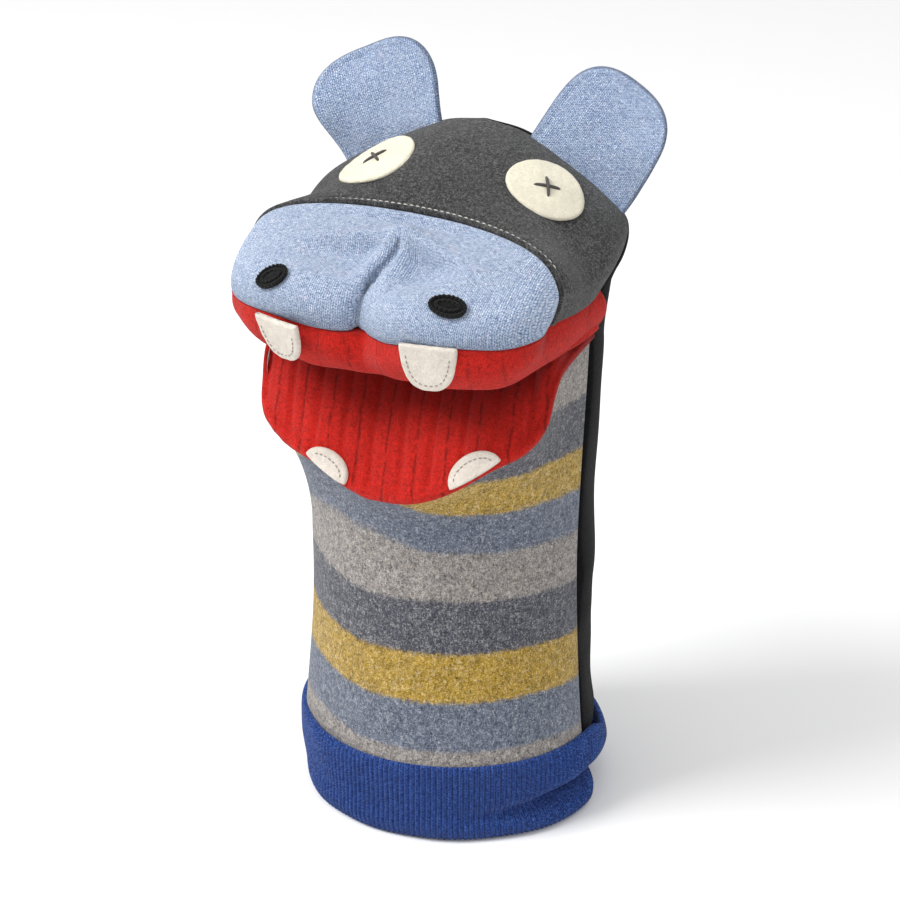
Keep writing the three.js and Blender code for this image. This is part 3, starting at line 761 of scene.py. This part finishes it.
def front_strip(name, low, high, length, edges=(), runs_on=("low", "high")):
    """A stretch of the striped cloth; edges are its seams besides the two at its sides."""
    piece = sheet(
        name, front_panel, steps(-1, 1, 170), steps(low, high, length), relief=front_relief,
        seams=("left", "right", *edges), corners=edges, weave=striped_weave, runs_on=runs_on,
    )
    return dress(piece, "stripes")


def back_strip(name, low, high, length, edges=(), runs_on=("low", "high")):
    """A stretch of the black cloth."""
    piece = sheet(
        name, back_panel, steps(-1, 1, 170, COARSE_GRID), steps(low, high, length, COARSE_GRID),
        relief=back_relief, seams=("left", "right", *edges), turned=True, runs_on=runs_on,
    )
    return dress(piece, "back")


def build_sleeve():
    for side, strip in (("front", front_strip), ("back", back_strip)):
        low = strip(f"sleeve_{side}_low", SLEEVE_FOOT, TURN_SPLIT, 57)
        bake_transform(low)
        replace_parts(low, f"sleeve_{side}_lower")
        mid = strip(f"sleeve_{side}_mid", TURN_SPLIT, NOD_SPLIT, 31)
        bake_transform(mid)
        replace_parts(mid, f"sleeve_{side}_forearm")
    top = front_strip("sleeve_front_top", NOD_SPLIT, NOD_SPLIT + SHARE, 90, ("high",), ("low",))
    jaw_blend(top)
    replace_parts(top, "sleeve_front_hand", "jaw_underside")
    back_top = back_strip("sleeve_back_top", NOD_SPLIT, BACK_CLOSE, 81)
    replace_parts(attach(back_top, "hand"), "sleeve_back_hand")
    arch = BACK_CLOSE + SHARE
    nape = back_strip("nape", BACK_CLOSE, arch + ALLOWANCE, 94, ("high",), ("low",))
    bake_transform(nape)
    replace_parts(nape, "head_back")


def jaw_blend(piece):
    """Bakes the piece's placement into its mesh."""
    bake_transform(piece)


# ---- Face

def crown_relief(s, t, near, p):
    """A turned hem stands proud along the brow, sunk where the topstitch pulls it down."""
    from_brow = arc_lengths(p, 0)
    from_arch = from_brow[-1:] - from_brow
    hem = 0.8 * smooth(1 - (from_brow - 1.2) / 2.2)
    stitch = -0.7 * bell(from_brow, HEM_WIDTH, 0.55) * smooth((0.9 - np.abs(s)) / 0.06)
    seam = -1.2 * np.exp(-from_arch / 1.8)
    return hem + stitch + seam + gentle(p, 11, 34, 0.5) * smooth(near / 10)


def dart_place(x, up):
    """Distance to the right of the dart's line, and how much of the dart there is at this height."""
    return x + 2.0 - 7.5 * smooth((up - 0.2) / 0.6), smooth((0.74 - up) / 0.08)


# Distance to the dart's line, where the snout's knit paints shade in the crease.
def dart_crease(s, t, p):
    length = arc_lengths(p, 0)
    from_dart, along_dart = dart_place(p[..., 0], length / length[-1:])
    return np.abs(from_dart) + 20 * (1 - along_dart)


def snout_relief(s, t, near, p):
    """The dart pinches the middle; a ridge rises over its end with a hollow on each side."""
    x = p[..., 0]
    length = arc_lengths(p, 0)
    up = length / length[-1:]
    from_dart, along_dart = dart_place(x, up)
    dart = -3.6 * along_dart * np.exp(-np.abs(from_dart) / 1.5)
    left_lap = 2.2 * along_dart * smooth((up - 0.2) / 0.3) * bell(from_dart, -3.6, 3.4)
    peak = 2.8 * bell(up, 0.76, 0.1) * bell(x, 5.0, 6.5)
    ridge = 2.8 * bell(up, 0.76 - 0.004 * np.abs(x - 5), 0.075) * bell(x, 5, 25)
    lobes = 2.4 * bell(x, -19, 12) * bell(up, 0.3, 0.24) + 2.6 * bell(x, 16, 12) * bell(up, 0.26, 0.24)
    under_ridge = smooth((0.745 - 0.003 * np.abs(x - 5) - up) / 0.09)
    under_ridge = under_ridge * smooth((up - 0.26) / 0.3)
    hollow_left = -4.4 * smooth((1 - x) / 10) * smooth((x + 38) / 20) * under_ridge
    hollow_right = -7.0 * smooth((x - 6.5) / 6) * smooth((38 - x) / 22) * under_ridge
    above = -2.4 * bell(up, 0.91, 0.06) * bell(x, 4, 30)
    folds = (peak + ridge + lobes + hollow_left + hollow_right + above) * smooth((1 - up) / 0.1)
    lip = -1.0 * np.exp(-length / 2.0)
    soft = gentle(p, 21, 24, 0.45) * smooth(near / 8)
    return dart + left_lap + folds + lip + soft


def snout_weave(s, t, p):
    up = arc_lengths(p, 0)
    return p[..., 0] * 1.05, up


def lip_relief(s, t, near, p):
    return gentle(p, 31, 22, 0.7) * smooth(near / 6)


def ribbed_relief(s, t, near, p):
    """Broad ribs run from the fold to the rim."""
    across = rib_place(p)
    phase = across / RIB
    line = np.abs(phase - np.floor(phase) - 0.5) * RIB
    groove = -1.1 * np.exp(-(((RIB / 2 - line) / 1.3) ** 2)) * smooth((near - 2.2) / 6)
    puckers = 0.12 * np.sin(across * 1.31 + 0.6 * np.sin(p[..., 2] * 0.12)) * smooth((t - 0.5) / 0.35)
    over_rim = 0.9 * smooth((t - 0.93) / 0.05)
    return (groove + puckers) * smooth(near / 2.5) + gentle(p, 41, 30, 0.8) * smooth(near / 10) + over_rim


def rib_place(p):
    """Distance across the ribs, which lean a little over the depth of the mouth."""
    return p[..., 0] + 0.35 * (p[..., 1] + 60)


def rib_weave(s, t, p):
    return rib_place(p) + RIB / 2, arc_lengths(p, 0)


def build_face():
    share = steps(-0.997, 0.997, 175)
    past_arch = 1.05
    crown = sheet(
        "crown", crown_surface, share, steps(0, past_arch, 73), relief=crown_relief,
        seams=("low", "high"),
    )
    snout = sheet(
        "snout", snout_surface, share, steps(0, 1, 62), relief=snout_relief, seams=("low", "high"),
        weave=snout_weave, crease=dart_crease,
    )
    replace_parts(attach(dress(crown, "crown"), "head"), "crown_panel")
    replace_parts(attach(dress(snout, "snout"), "head"), "snout_panel")
    return crown, snout


def mouth_sheet(name, surface, low, high, length, relief, edges=(), material="mouth"):
    piece = sheet(
        name, surface, steps(-0.998, 0.998, 210), steps(low, high, length), relief=relief,
        seams=edges, corners=edges, weave=rib_weave, turned=True,
    )
    return dress(piece, material)


def build_mouth():
    def band(s, t):
        inside = upper_palate(s, np.clip(t - 1, 0, 1))
        return np.where((t <= 1)[..., None], lip_band(s, t), inside)

    def behind_band(s, t):
        return upper_palate(s, t) + [0, 0, 0.8]

    lip = mouth_sheet("lip_band", band, -0.04, 1.22, 34, lip_relief, material="lip")
    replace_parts(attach(lip, "head"), "upper_lip_and_palate")
    palate = mouth_sheet("palate_upper", behind_band, 0.1, 1, 45, ribbed_relief)
    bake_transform(palate)
    lower = mouth_sheet("palate_lower", rolled_palate, 0, 1.03, 80, ribbed_relief, ("high",))
    jaw_blend(lower)
    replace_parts(lower, "lower_palate", "mouth_fold")
    return lower


# ---- Small felt pieces

def surface_of(obj):
    """The object's mesh as a tree for rays, in millimetres about the cuff's centre line."""
    count = len(obj.data.vertices)
    co = np.zeros(count * 3)
    obj.data.vertices.foreach_get("co", co)
    co = co.reshape(-1, 3) / MM
    co[:, 1] -= CENTRE_Y / MM
    return BVHTree.FromPolygons(co.tolist(), [list(f.vertices) for f in obj.data.polygons])


def stand_on(surface, s, t):
    """A place on a surface: point, sideways, climbing and outward directions."""
    step = 0.01
    at_ = lambda a, b: surface(np.array([[a]], float), np.array([[b]], float))[0, 0]
    point = at_(s, t)
    climb = unit(at_(s, t + step) - at_(s, t - step))
    out = unit(np.cross(at_(s + step, t) - at_(s - step, t), climb))
    return point, np.cross(climb, out), climb, out


def drape(points, out, tree, reach=14.0):
    """Each point's height above or below, along out, at which it would touch the surface."""
    lift = []
    direction = Vector(-out)
    for p in points:
        hit = tree.ray_cast(Vector(p + out * reach), direction, reach * 2)
        lift.append(reach - hit[3] if hit[0] is not None else np.nan)
    lift = np.array(lift)
    lift[np.isnan(lift)] = np.nanmin(lift) if np.isfinite(lift).any() else 0
    return lift


def disc_faces(count, rings, turned=False):
    """Faces of a closed disc of two layers, each a middle point and rings of vertices round it."""
    faces = []
    total = 1 + rings * count
    for layer, flip in ((0, turned), (total, not turned)):
        for k in range(count):
            n = (k + 1) % count
            tri = [layer, layer + 1 + k, layer + 1 + n]
            faces.append(tri[::-1] if flip else tri)
            for r in range(rings - 1):
                a, b = layer + 1 + r * count + k, layer + 1 + r * count + n
                quad = [a, a + count, b + count, b]
                faces.append(quad[::-1] if flip else quad)
    last = 1 + (rings - 1) * count
    for k in range(count):
        n = (k + 1) % count
        wall = [last + k, last + k + total, last + n + total, last + n]
        faces.append(wall[::-1] if turned else wall)
    return faces


def felt_patch(name, outline, place, tree, lift, thickness=FELT, rings=14, smooth_drape=True):
    """A cut piece of felt, lying on the surface below it: outline(angle) gives its edge in its plane."""
    point, sideways, climb, out = place
    count = 96
    angles = np.linspace(0, 2 * math.pi, count, endpoint=False)
    edge = np.array([outline(a) for a in angles])
    middle = edge.mean(0)
    shares = np.sin(np.linspace(0, math.pi / 2, rings + 1))
    flat = middle + shares[1:, None, None] * (edge - middle)[None]
    flat = np.concatenate([middle[None], flat.reshape(-1, 2)])
    base = point + flat[:, :1] * sideways + flat[:, 1:] * climb
    rest = drape(base, out, tree)
    if smooth_drape:
        x, y = flat[:, 0], flat[:, 1]
        terms = np.stack([np.ones_like(x), x, y, x * x, x * y, y * y], 1)
        rest = terms @ np.linalg.lstsq(terms, rest, rcond=None)[0]
    radius = np.linalg.norm(edge - middle, axis=1)
    room = np.concatenate([[radius.mean()], ((1 - shares[1:])[:, None] * radius[None]).ravel()])
    half = thickness / 2
    inside = np.clip(1 - room / half, 0, 1)
    drop = half * (1 - np.sqrt(1 - inside**2))
    dent = 0.25 * np.sin(flat[:, 0] * 1.3 + 0.4) * np.sin(flat[:, 1] * 1.1 + 1.0) * 0.4
    top = base + out * (rest + lift + thickness - drop + dent)[:, None]
    bottom = base + out * (rest + lift + drop)[:, None]
    faces = disc_faces(count, rings)
    points = np.concatenate([top, bottom])
    weave = np.concatenate([np.column_stack([flat, room])] * 2)
    obj = to_mesh(name, points, faces, {"rest": points, "weave": weave})

    def on_top(x, y):
        """A point of the felt's upper face, from its own plane's x and y."""
        distance = np.hypot(flat[:, 0] - x, flat[:, 1] - y)
        height = rest[distance.argmin()] + lift + thickness
        return point + x * sideways + y * climb + out * height

    return obj, on_top, out


def tube(points, radius, sides=8):
    """Vertices and faces of a round strand through points, thinner at its ends."""
    points = np.asarray(points, float)
    count = len(points)
    direction = unit(np.gradient(points, axis=0))
    side = unit(np.cross(direction, [0.3, 0.2, 0.93]))
    other = np.cross(direction, side)
    from_middle = 2 * np.linspace(0, 1, count) - 1
    width = radius * np.maximum(np.sqrt(np.clip(1 - from_middle**6, 0, 1)), 0.15)
    turn = np.linspace(0, 2 * math.pi, sides, endpoint=False)[None, :, None]
    rings = points[:, None] + width[:, None, None] * (
        np.cos(turn) * side[:, None] + np.sin(turn) * other[:, None]
    )
    faces = []
    for j in range(count - 1):
        for i in range(sides):
            n = (i + 1) % sides
            faces.append([j * sides + i, j * sides + n, (j + 1) * sides + n, (j + 1) * sides + i])
    faces.append(list(range(sides))[::-1])
    faces.append([(count - 1) * sides + i for i in range(sides)])
    return rings.reshape(-1, 3), faces


def strands(name, lines, radius, material, body, node, sides=8):
    """One object made of many strands, such as a row of stitches, for a CAD node on this body."""
    points, faces, start = [], [], 0
    for line in lines:
        p, f = tube(line, radius, sides)
        points.append(p)
        faces += [[start + i for i in face] for face in f]
        start += len(p)
    points = np.concatenate(points)
    obj = dress(to_mesh(name, points, faces, {"rest": points, "weave": points}), material)
    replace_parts(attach(obj, body), node)


def resampled(points, places, where):
    """Points of a line, given at these places along it, at other places."""
    return np.stack([np.interp(where, places, np.asarray(points, float)[:, i]) for i in range(3)], 1)


def stitches_along(points, pitch, gap, out, bulge):
    """Short arched stitches, evenly spaced along a line of points."""
    points = np.asarray(points, float)
    lengths = np.concatenate([[0], np.cumsum(np.linalg.norm(np.diff(points, axis=0), axis=1))])
    outs = np.broadcast_to(out, points.shape)
    arch = bulge * np.sin(np.linspace(0, math.pi, 7)) - bulge * 0.6
    lines = []
    for k in range(int(lengths[-1] // pitch)):
        where = np.linspace(k * pitch + gap / 2, (k + 1) * pitch - gap / 2, 7)
        lines.append(resampled(points, lengths, where) + resampled(outs, lengths, where) * arch[:, None])
    return lines


def ellipse(rx, ry, turn=0.0, wobble=0.0, seed=0):
    random = np.random.default_rng(seed)
    phases = random.uniform(0, 6.3, 4)

    def outline(a):
        r = 1 + wobble * sum(math.sin((k + 2) * a + phases[k]) for k in range(4)) / 2
        x, y = rx * r * math.cos(a), ry * r * math.sin(a)
        return x * math.cos(turn) - y * math.sin(turn), x * math.sin(turn) + y * math.cos(turn)

    return outline


def build_eye(name, sign, crown_tree):
    """A felt disc held by a cross of two yarn stitches, one over the other."""
    place = stand_on(crown_surface, sign * 0.375 + 0.05, 0.5 + 0.07 * sign)
    outline = ellipse(15, 14.4 - 0.6 * sign, 0, 0.008, 3 + sign)
    eye, on_top, out = felt_patch(f"{name}_felt", outline, place, crown_tree, -0.3)
    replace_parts(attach(dress(eye, "eye"), "head"), name)
    share = np.linspace(-1, 1, 15)
    reach = 5.2
    lines = []
    for turn, over in ((0.72, 0), (2.3, 0.35)):
        arch = 0.75 * (1 - share**2) ** 0.5 - 0.35 + over * (1 - share**2)
        x, y = reach * math.cos(turn), reach * math.sin(turn)
        lines.append([on_top(x * a, y * a) + out * h for a, h in zip(share, arch)])
    strands(f"{name}_cross_yarn", lines, 0.6, "yarn", "head", f"{name}_cross", 10)


def build_nostril(name, sign, snout_tree):
    """A felt oval under two rings of thick black stitches."""
    place = stand_on(snout_surface, sign * 0.4 + 0.025, 0.345 + 0.02 * sign)
    wide, tall, turn = (6.6, 4.0, -0.05) if sign > 0 else (6.2, 4.3, 0.6)
    outline = ellipse(wide, tall, turn, 0.01, 7)
    patch, on_top, out = felt_patch(f"{name}_felt", outline, place, snout_tree, -0.2)
    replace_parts(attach(dress(patch, "nostril"), "head"), name)
    lines = []
    for rx, ry, count, low, high in (
        (wide - 0.3, tall - 0.3, 24, -0.4, 0.45), (wide - 2.4, tall - 2.1, 14, -0.3, 0.25),
    ):
        outline = ellipse(rx, ry, turn)
        step = 2 * math.pi / count
        for k in range(count):
            first, last = np.array(outline(k * step)), np.array(outline((k + 0.95) * step))
            places = ((first, low), ((first + last) / 2, high), (last, low))
            stitch = [on_top(*q) + out * rise for q, rise in places]
            lines.append(resampled(stitch, (0, 1, 2), np.linspace(0, 2, 7)))
    strands(f"{name}_thread", lines, 0.62, "black_thread", "head", f"{name}_stitching")


def tongue(half, length, taper):
    """Outline of an upper tooth: straight sides that narrow a little, and a round tip below."""
    def outline(a):
        x, y = math.cos(a), math.sin(a)
        if y >= 0:
            scale = 1 / max(abs(x), abs(y), 1e-6)
            return half * x * scale, 2.2 * y * scale
        width = half - taper * (-y) ** 0.5
        return width * math.copysign(abs(x) ** 0.76, x), -length * (-y) ** 0.8
    return outline


def build_upper_tooth(name, sign):
    """It hangs from the lip seam in front of the lip."""
    if sign > 0:
        lean, length, y, z, proud = 0.12, 14.9, -72.7, 206.2, -0.3
    else:
        lean, length, y, z, proud = 0.3, 14.2, -73.6, 205.8, 1.0
    turn = -sign * 0.24
    sideways = np.array([math.cos(turn), -math.sin(turn), 0])
    climb = unit(np.array([0, 0, 1.0]) + lean * np.cross(sideways, [0, 0, 1]))
    out = np.cross(sideways, climb)
    point = np.array([sign * 29.3 + 2.8, y, z]) + proud * out
    around = ((-60, -60), (60, -60), (60, 60), (-60, 60))
    corners = [tuple(point + a * sideways + b * climb) for a, b in around]
    plane = BVHTree.FromPolygons(corners, [(0, 1, 2, 3)])
    place = (point, sideways, climb, out)
    outline = tongue(10.3, length, 0.8)
    tooth, on_top, _ = felt_patch(f"{name}_felt", outline, place, plane, 0.0, 2.4, smooth_drape=False)
    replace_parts(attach(dress(tooth, "tooth"), name), name)
    inner = tongue(8.0, length - 2.4, 0.8)
    line = [on_top(*inner(a)) for a in np.linspace(math.pi * 1.02, 2 * math.pi * 0.99, 60)]
    tooth_thread(name, line, out)


def tooth_thread(name, line, out):
    lines = stitches_along(line, 1.9, 0.5, out, 0.18)
    strands(f"{name}_thread", lines, 0.24, "grey_thread", name, f"{name}_stitching", 6)


def build_lower_tooth(name, sign, palate_tree):
    """A half disc that stands up from the jaw's rim, with its straight side along the rim."""
    s = 0.42 if sign > 0 else -0.17
    point, _, climb, out = stand_on(lambda a, b: lower_palate(a, 1 - b), s, 0.012)
    step = 0.02
    sideways = unit(rim(np.array([s + step]))[0] - rim(np.array([s - step]))[0])
    out = unit(out - sideways * (out @ sideways))
    climb = np.cross(out, sideways)
    wide, tall = (10.6, 7.6) if sign > 0 else (9.6, 6.6)

    def moon(a):
        x, y = math.cos(a), math.sin(a)
        return wide * x, (tall * y if y > 0 else 1.0 * y)

    place = (point, sideways, climb, out)
    tooth, on_top, out = felt_patch(f"{name}_felt", moon, place, palate_tree, 0.1, 2.0)
    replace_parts(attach(dress(tooth, "tooth"), name), name)
    inner = np.linspace(0.1, math.pi - 0.1, 50)
    line = [on_top((wide - 2.6) * math.cos(a), 0.6 + (tall - 3.2) * math.sin(a)) for a in inner]
    tooth_thread(name, line, out)


def build_topstitch(crown_tree):
    """White machine stitches just above the brow seam."""
    s = np.linspace(-0.7, 0.8, 400)
    low = crown_surface(s[None], np.zeros((1, 400)))[0]
    high = crown_surface(s[None], np.full((1, 400), 0.2))[0]
    climb = unit(high - low)
    out = unit(np.cross(np.gradient(low, axis=0), climb))
    guess = low + climb * HEM_WIDTH
    lift = np.array([drape([p], o, crown_tree, 6.0)[0] for p, o in zip(guess, out)])
    line = guess + out * (lift + 0.05)[:, None]
    lines = stitches_along(line, 2.5, 0.75, out, 0.3)
    strands("brow_stitches", lines, 0.23, "thread", "head", "brow_topstitch", 6)


# ---- Ears and cuff

def ear_outline(angle):
    """Straight sides and a squarish rounded end, in the ear's own plane."""
    x, y = math.cos(angle), math.sin(angle)
    if y >= 0:
        return EAR_HALF * math.copysign(abs(x) ** 0.74, x), EAR_MIDDLE + 23 * y**0.74
    scale = 1 / max(abs(x), abs(y))
    return EAR_HALF * x * scale * (1 + 0.05 * y * scale), EAR_MIDDLE + 19.5 * y * scale


def build_ear(name, sign):
    """Two layers that meet along a rounded edge; the outer half curls forward."""
    up = unit(np.array([sign * 18.65, 12.8, 33.5]))
    sideways = unit(np.array([40.5, 0, -sign * 23.0]))
    out = unit(np.cross(sideways, up))
    sideways = np.cross(up, out)
    root = np.array([sign * 37.75, 23, 242.5])
    wide, curl = (1.0, 9.5) if sign > 0 else (1.06, 12.5)
    count, rings = 150, 30
    edge = np.array([ear_outline(a) for a in np.linspace(0, 2 * math.pi, count, endpoint=False)])
    middle = np.array([0, EAR_MIDDLE])
    shares = np.sin(np.linspace(0, math.pi / 2, rings + 1))[1:]
    flat = middle + shares[:, None, None] * (edge - middle)
    flat = np.concatenate([middle[None], flat.reshape(-1, 2)])
    room = ((1 - shares)[:, None] * np.linalg.norm(edge - middle, axis=1)).ravel()
    room = np.concatenate([[20], room])
    x, y = flat[:, 0], flat[:, 1]
    outward = sign * x / EAR_HALF
    share = np.where(outward > 0, np.abs(outward) ** 1.3, 0.25 * outward)
    across = x * np.where(outward > 0, wide, 1)
    forward = curl * smooth(y / 25) * share
    base = root + np.stack([across, y, forward], 1) @ np.stack([sideways, up, out])
    roll = np.sqrt(np.clip(1 - (1 - np.clip(room / 2.2, 0, 1)) ** 2, 0, 1))
    swell = 0.05 + 1.75 * roll + 0.9 * smooth(room / 14) - 0.45 * bell(room, 3.6, 0.8)
    for layer, side in (("front", 1), ("back", -1)):
        puff = swell + gentle(base, 51 + side, 20, 0.5) * smooth(room / 6)
        outer = base + side * puff[:, None] * out
        inner = base + side * np.maximum(puff - 1.2, 0.02)[:, None] * out
        points = np.concatenate([outer, inner])
        # weave.z holds the distance to the ear's edge, where the knit material paints shade along its seam.
        weave = np.concatenate([np.column_stack([flat, np.minimum(room, 20)])] * 2)
        faces = disc_faces(count, rings, side < 0)
        piece = to_mesh(f"{name}_{layer}_knit", points, faces, {"rest": points, "weave": weave})
        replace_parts(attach(dress(piece, "ear"), name), f"{name}_{layer}")


def cuff_profile(v):
    """Radius and height round the folded band: from the top edge down the outside and up the inside."""
    rows = [
        (0, 55.6, 28.0, 0), (0.05, 57.0, 31.2, 0), (0.1, 58.6, 31.9, 0), (0.15, 59.4, 29.5, 0),
        (0.3, 59.2, 21, 0), (0.45, 59.0, 12, 0), (0.55, 59.4, 5.0, 0), (0.62, 57.2, 0.6, 0),
        (0.68, 53.5, 1.0, 0), (0.76, 50.4, 8, 0), (1, 50.8, 27, 0),
    ]
    return along(rows, v)[..., :2]


def slumped(r, z, degrees, outside):
    """The band's slumps: radius, height and the depth of its crease, by degrees round from the left (+X)."""
    # The hem is drawn in on the right-hand side.
    right = bell(degrees, -168, 34) + bell(degrees, 192, 34)
    r = r - 5.0 * right * smooth((22 - z) / 22)
    # Towards the left side and the back the top edge sits lower.
    sunk = smooth((degrees - 2) / 28) * smooth((135 - degrees) / 40)
    z = z - 10.5 * sunk * smooth((z - 10) / 18)
    r = r - 0.8 * sunk
    # There a crease runs round the band; the hem below it flares out, and further back it tucks under.
    crease_z = np.interp(degrees, (-70, -45, 0, 15, 40, 90), (9.0, 10.0, 12.5, 10.5, 7.0, 7.0))
    depth = np.interp(degrees, (-66, -45, -20, 0, 25, 60, 100), (0, 1.8, 5.5, 7.0, 6.5, 4.0, 0))
    crease = depth * bell(z, crease_z, 3.0) * outside
    r = r - crease
    flare = smooth((degrees + 60) / 50) * smooth((14 - degrees) / 16)
    r = r + 2.6 * flare * bell(z, 2.5, 5.5)
    tuck = bell(degrees, 32, 24) * smooth((12.5 - z) / 9)
    r = r - 9.0 * tuck
    z = z + 1.6 * tuck * smooth((12 - z) / 12)
    swell = bell(z, crease_z + 9, 5.0) * smooth((degrees + 50) / 50) * smooth((90 - degrees) / 40)
    r = r + 0.9 * swell * outside
    return r, z, depth * bell(z, crease_z, 3.0) * outside


def build_cuff():
    """A folded band of ribs, closed from its top edge down the outside and up the inside."""
    turns = CUFF_RIBS * 7
    rows = 120
    a, v = np.meshgrid(np.linspace(0, 2 * math.pi, turns, endpoint=False), np.linspace(0, 1, rows))
    profile = cuff_profile(v)
    degrees = np.degrees(a)
    degrees = np.where(degrees > 180, degrees - 360, degrees)
    r, z, crease = slumped(profile[..., 0], profile[..., 1], degrees, smooth((0.64 - v) / 0.06))
    soft = 0.5 * np.sin(a * 3 + 1.0) + 0.35 * np.sin(a * 5 + z * 0.15) + 0.25 * np.sin(a * 11 + z * 0.2)
    r = r + 0.8 * soft * smooth(v / 0.2)
    inside_rib = np.where(v < 0.66, 1, 0.6)
    r = r + 0.5 * np.cos(a * CUFF_RIBS) * inside_rib * smooth((v - 0.03) / 0.08)
    points = np.stack([r * np.cos(a), OVAL * r * np.sin(a), np.maximum(z, 0.05)], -1)
    i, j = np.meshgrid(np.arange(turns), np.arange(rows))
    right, below = (i + 1) % turns, (j + 1) % rows
    faces = np.stack([j * turns + i, below * turns + i, below * turns + right, j * turns + right], -1)
    across = (a * CUFF_RIBS / (2 * math.pi) + 0.5) * RIB_WALE
    # weave.z falls in the crease, where the knit material paints shadow.
    weave = stack(across, arc_lengths(points, 0), np.clip(9 - crease * 1.5, 0, 20))
    attributes = {"rest": points.reshape(-1, 3), "weave": weave.reshape(-1, 3)}
    cuff = to_mesh("cuff_knit", points.reshape(-1, 3), faces.reshape(-1, 4).tolist(), attributes)
    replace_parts(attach(dress(cuff, "cuff"), "sleeve"), "cuff")


# ---- Stage

def staged(name, data):
    """A new object that is part of the studio."""
    obj = bpy.data.objects.new(name, data)
    bpy.context.scene.collection.objects.link(obj)
    return obj


def build_stage():
    side = 6.0
    corners = [(-side, -side, 0), (side, -side, 0), (side, side, 0), (-side, side, 0)]
    floor_mesh = bpy.data.meshes.new("floor")
    floor_mesh.from_pydata(corners, [], [(0, 1, 2, 3)])
    pale = bpy.data.materials.new("pale_floor")
    pale.use_nodes = True
    surface = pale.node_tree.nodes["Principled BSDF"].inputs
    surface["Base Color"].default_value = (0.9, 0.9, 0.9, 1)
    surface["Roughness"].default_value = 0.9
    floor_mesh.materials.append(pale)
    staged("floor", floor_mesh)
    # The camera sees a white backdrop; its light on the object is weaker.
    world = bpy.data.worlds.new("studio")
    bpy.context.scene.world = world
    world.use_nodes = True
    tree = world.node_tree
    background = tree.nodes["Background"]
    path = tree.nodes.new("ShaderNodeLightPath")
    strength = tree.nodes.new("ShaderNodeMapRange")
    tree.links.new(path.outputs["Is Camera Ray"], strength.inputs["Value"])
    strength.inputs["To Min"].default_value = 0.42
    strength.inputs["To Max"].default_value = 1.0
    tree.links.new(strength.outputs[0], background.inputs["Strength"])
    background.inputs["Color"].default_value = (1, 1, 1, 1)
    bpy.context.scene.view_settings.view_transform = "Standard"
    aim = Vector((0, 0, 0.14))
    for name, place, size, power in (
        ("key", (-0.72, -0.85, 1.4), 0.7, 26.0),
        ("fill", (1.2, -0.9, 0.8), 1.2, 4.5),
    ):
        light = bpy.data.lights.new(name, "AREA")
        light.size = size
        light.energy = power
        lamp = staged(name, light)
        lamp.location = place
        lamp.rotation_euler = (aim - Vector(place)).to_track_quat("-Z", "Y").to_euler()
    sun = bpy.data.lights.new("overhead", "SUN")
    sun.energy = 1.3
    sun.angle = math.radians(100)
    staged("overhead", sun)


def build_camera():
    azimuth, elevation, distance = math.radians(30), math.radians(23.4), 1.0
    back = Vector((
        math.sin(azimuth) * math.cos(elevation),
        -math.cos(azimuth) * math.cos(elevation),
        math.sin(elevation),
    ))
    right = Vector((math.cos(azimuth), math.sin(azimuth), 0))
    target = at(0, 0, 135.5) + right * -0.0014
    camera_data = bpy.data.cameras.new("camera")
    camera_data.lens = 106.7
    camera_data.sensor_width = 36
    camera = bpy.data.objects.new("camera", camera_data)
    bpy.context.scene.collection.objects.link(camera)
    turn = Matrix((right, back.cross(right), back)).transposed().to_4x4()
    camera.matrix_world = Matrix.Translation(target + back * distance) @ turn
    bpy.context.scene.camera = camera


build_sleeve()
crown, snout = build_face()
lower = build_mouth()
crown_tree, snout_tree, palate_tree = surface_of(crown), surface_of(snout), surface_of(lower)
build_topstitch(crown_tree)
for side_name, sign in (("left", 1), ("right", -1)):
    build_ear(f"ear_{side_name}", sign)
    build_eye(f"eye_{side_name}", sign, crown_tree)
    build_nostril(f"nostril_{side_name}", sign, snout_tree)
    build_upper_tooth(f"tooth_upper_{side_name}", sign)
    build_lower_tooth(f"tooth_lower_{side_name}", sign, palate_tree)
build_cuff()
build_stage()
build_camera()
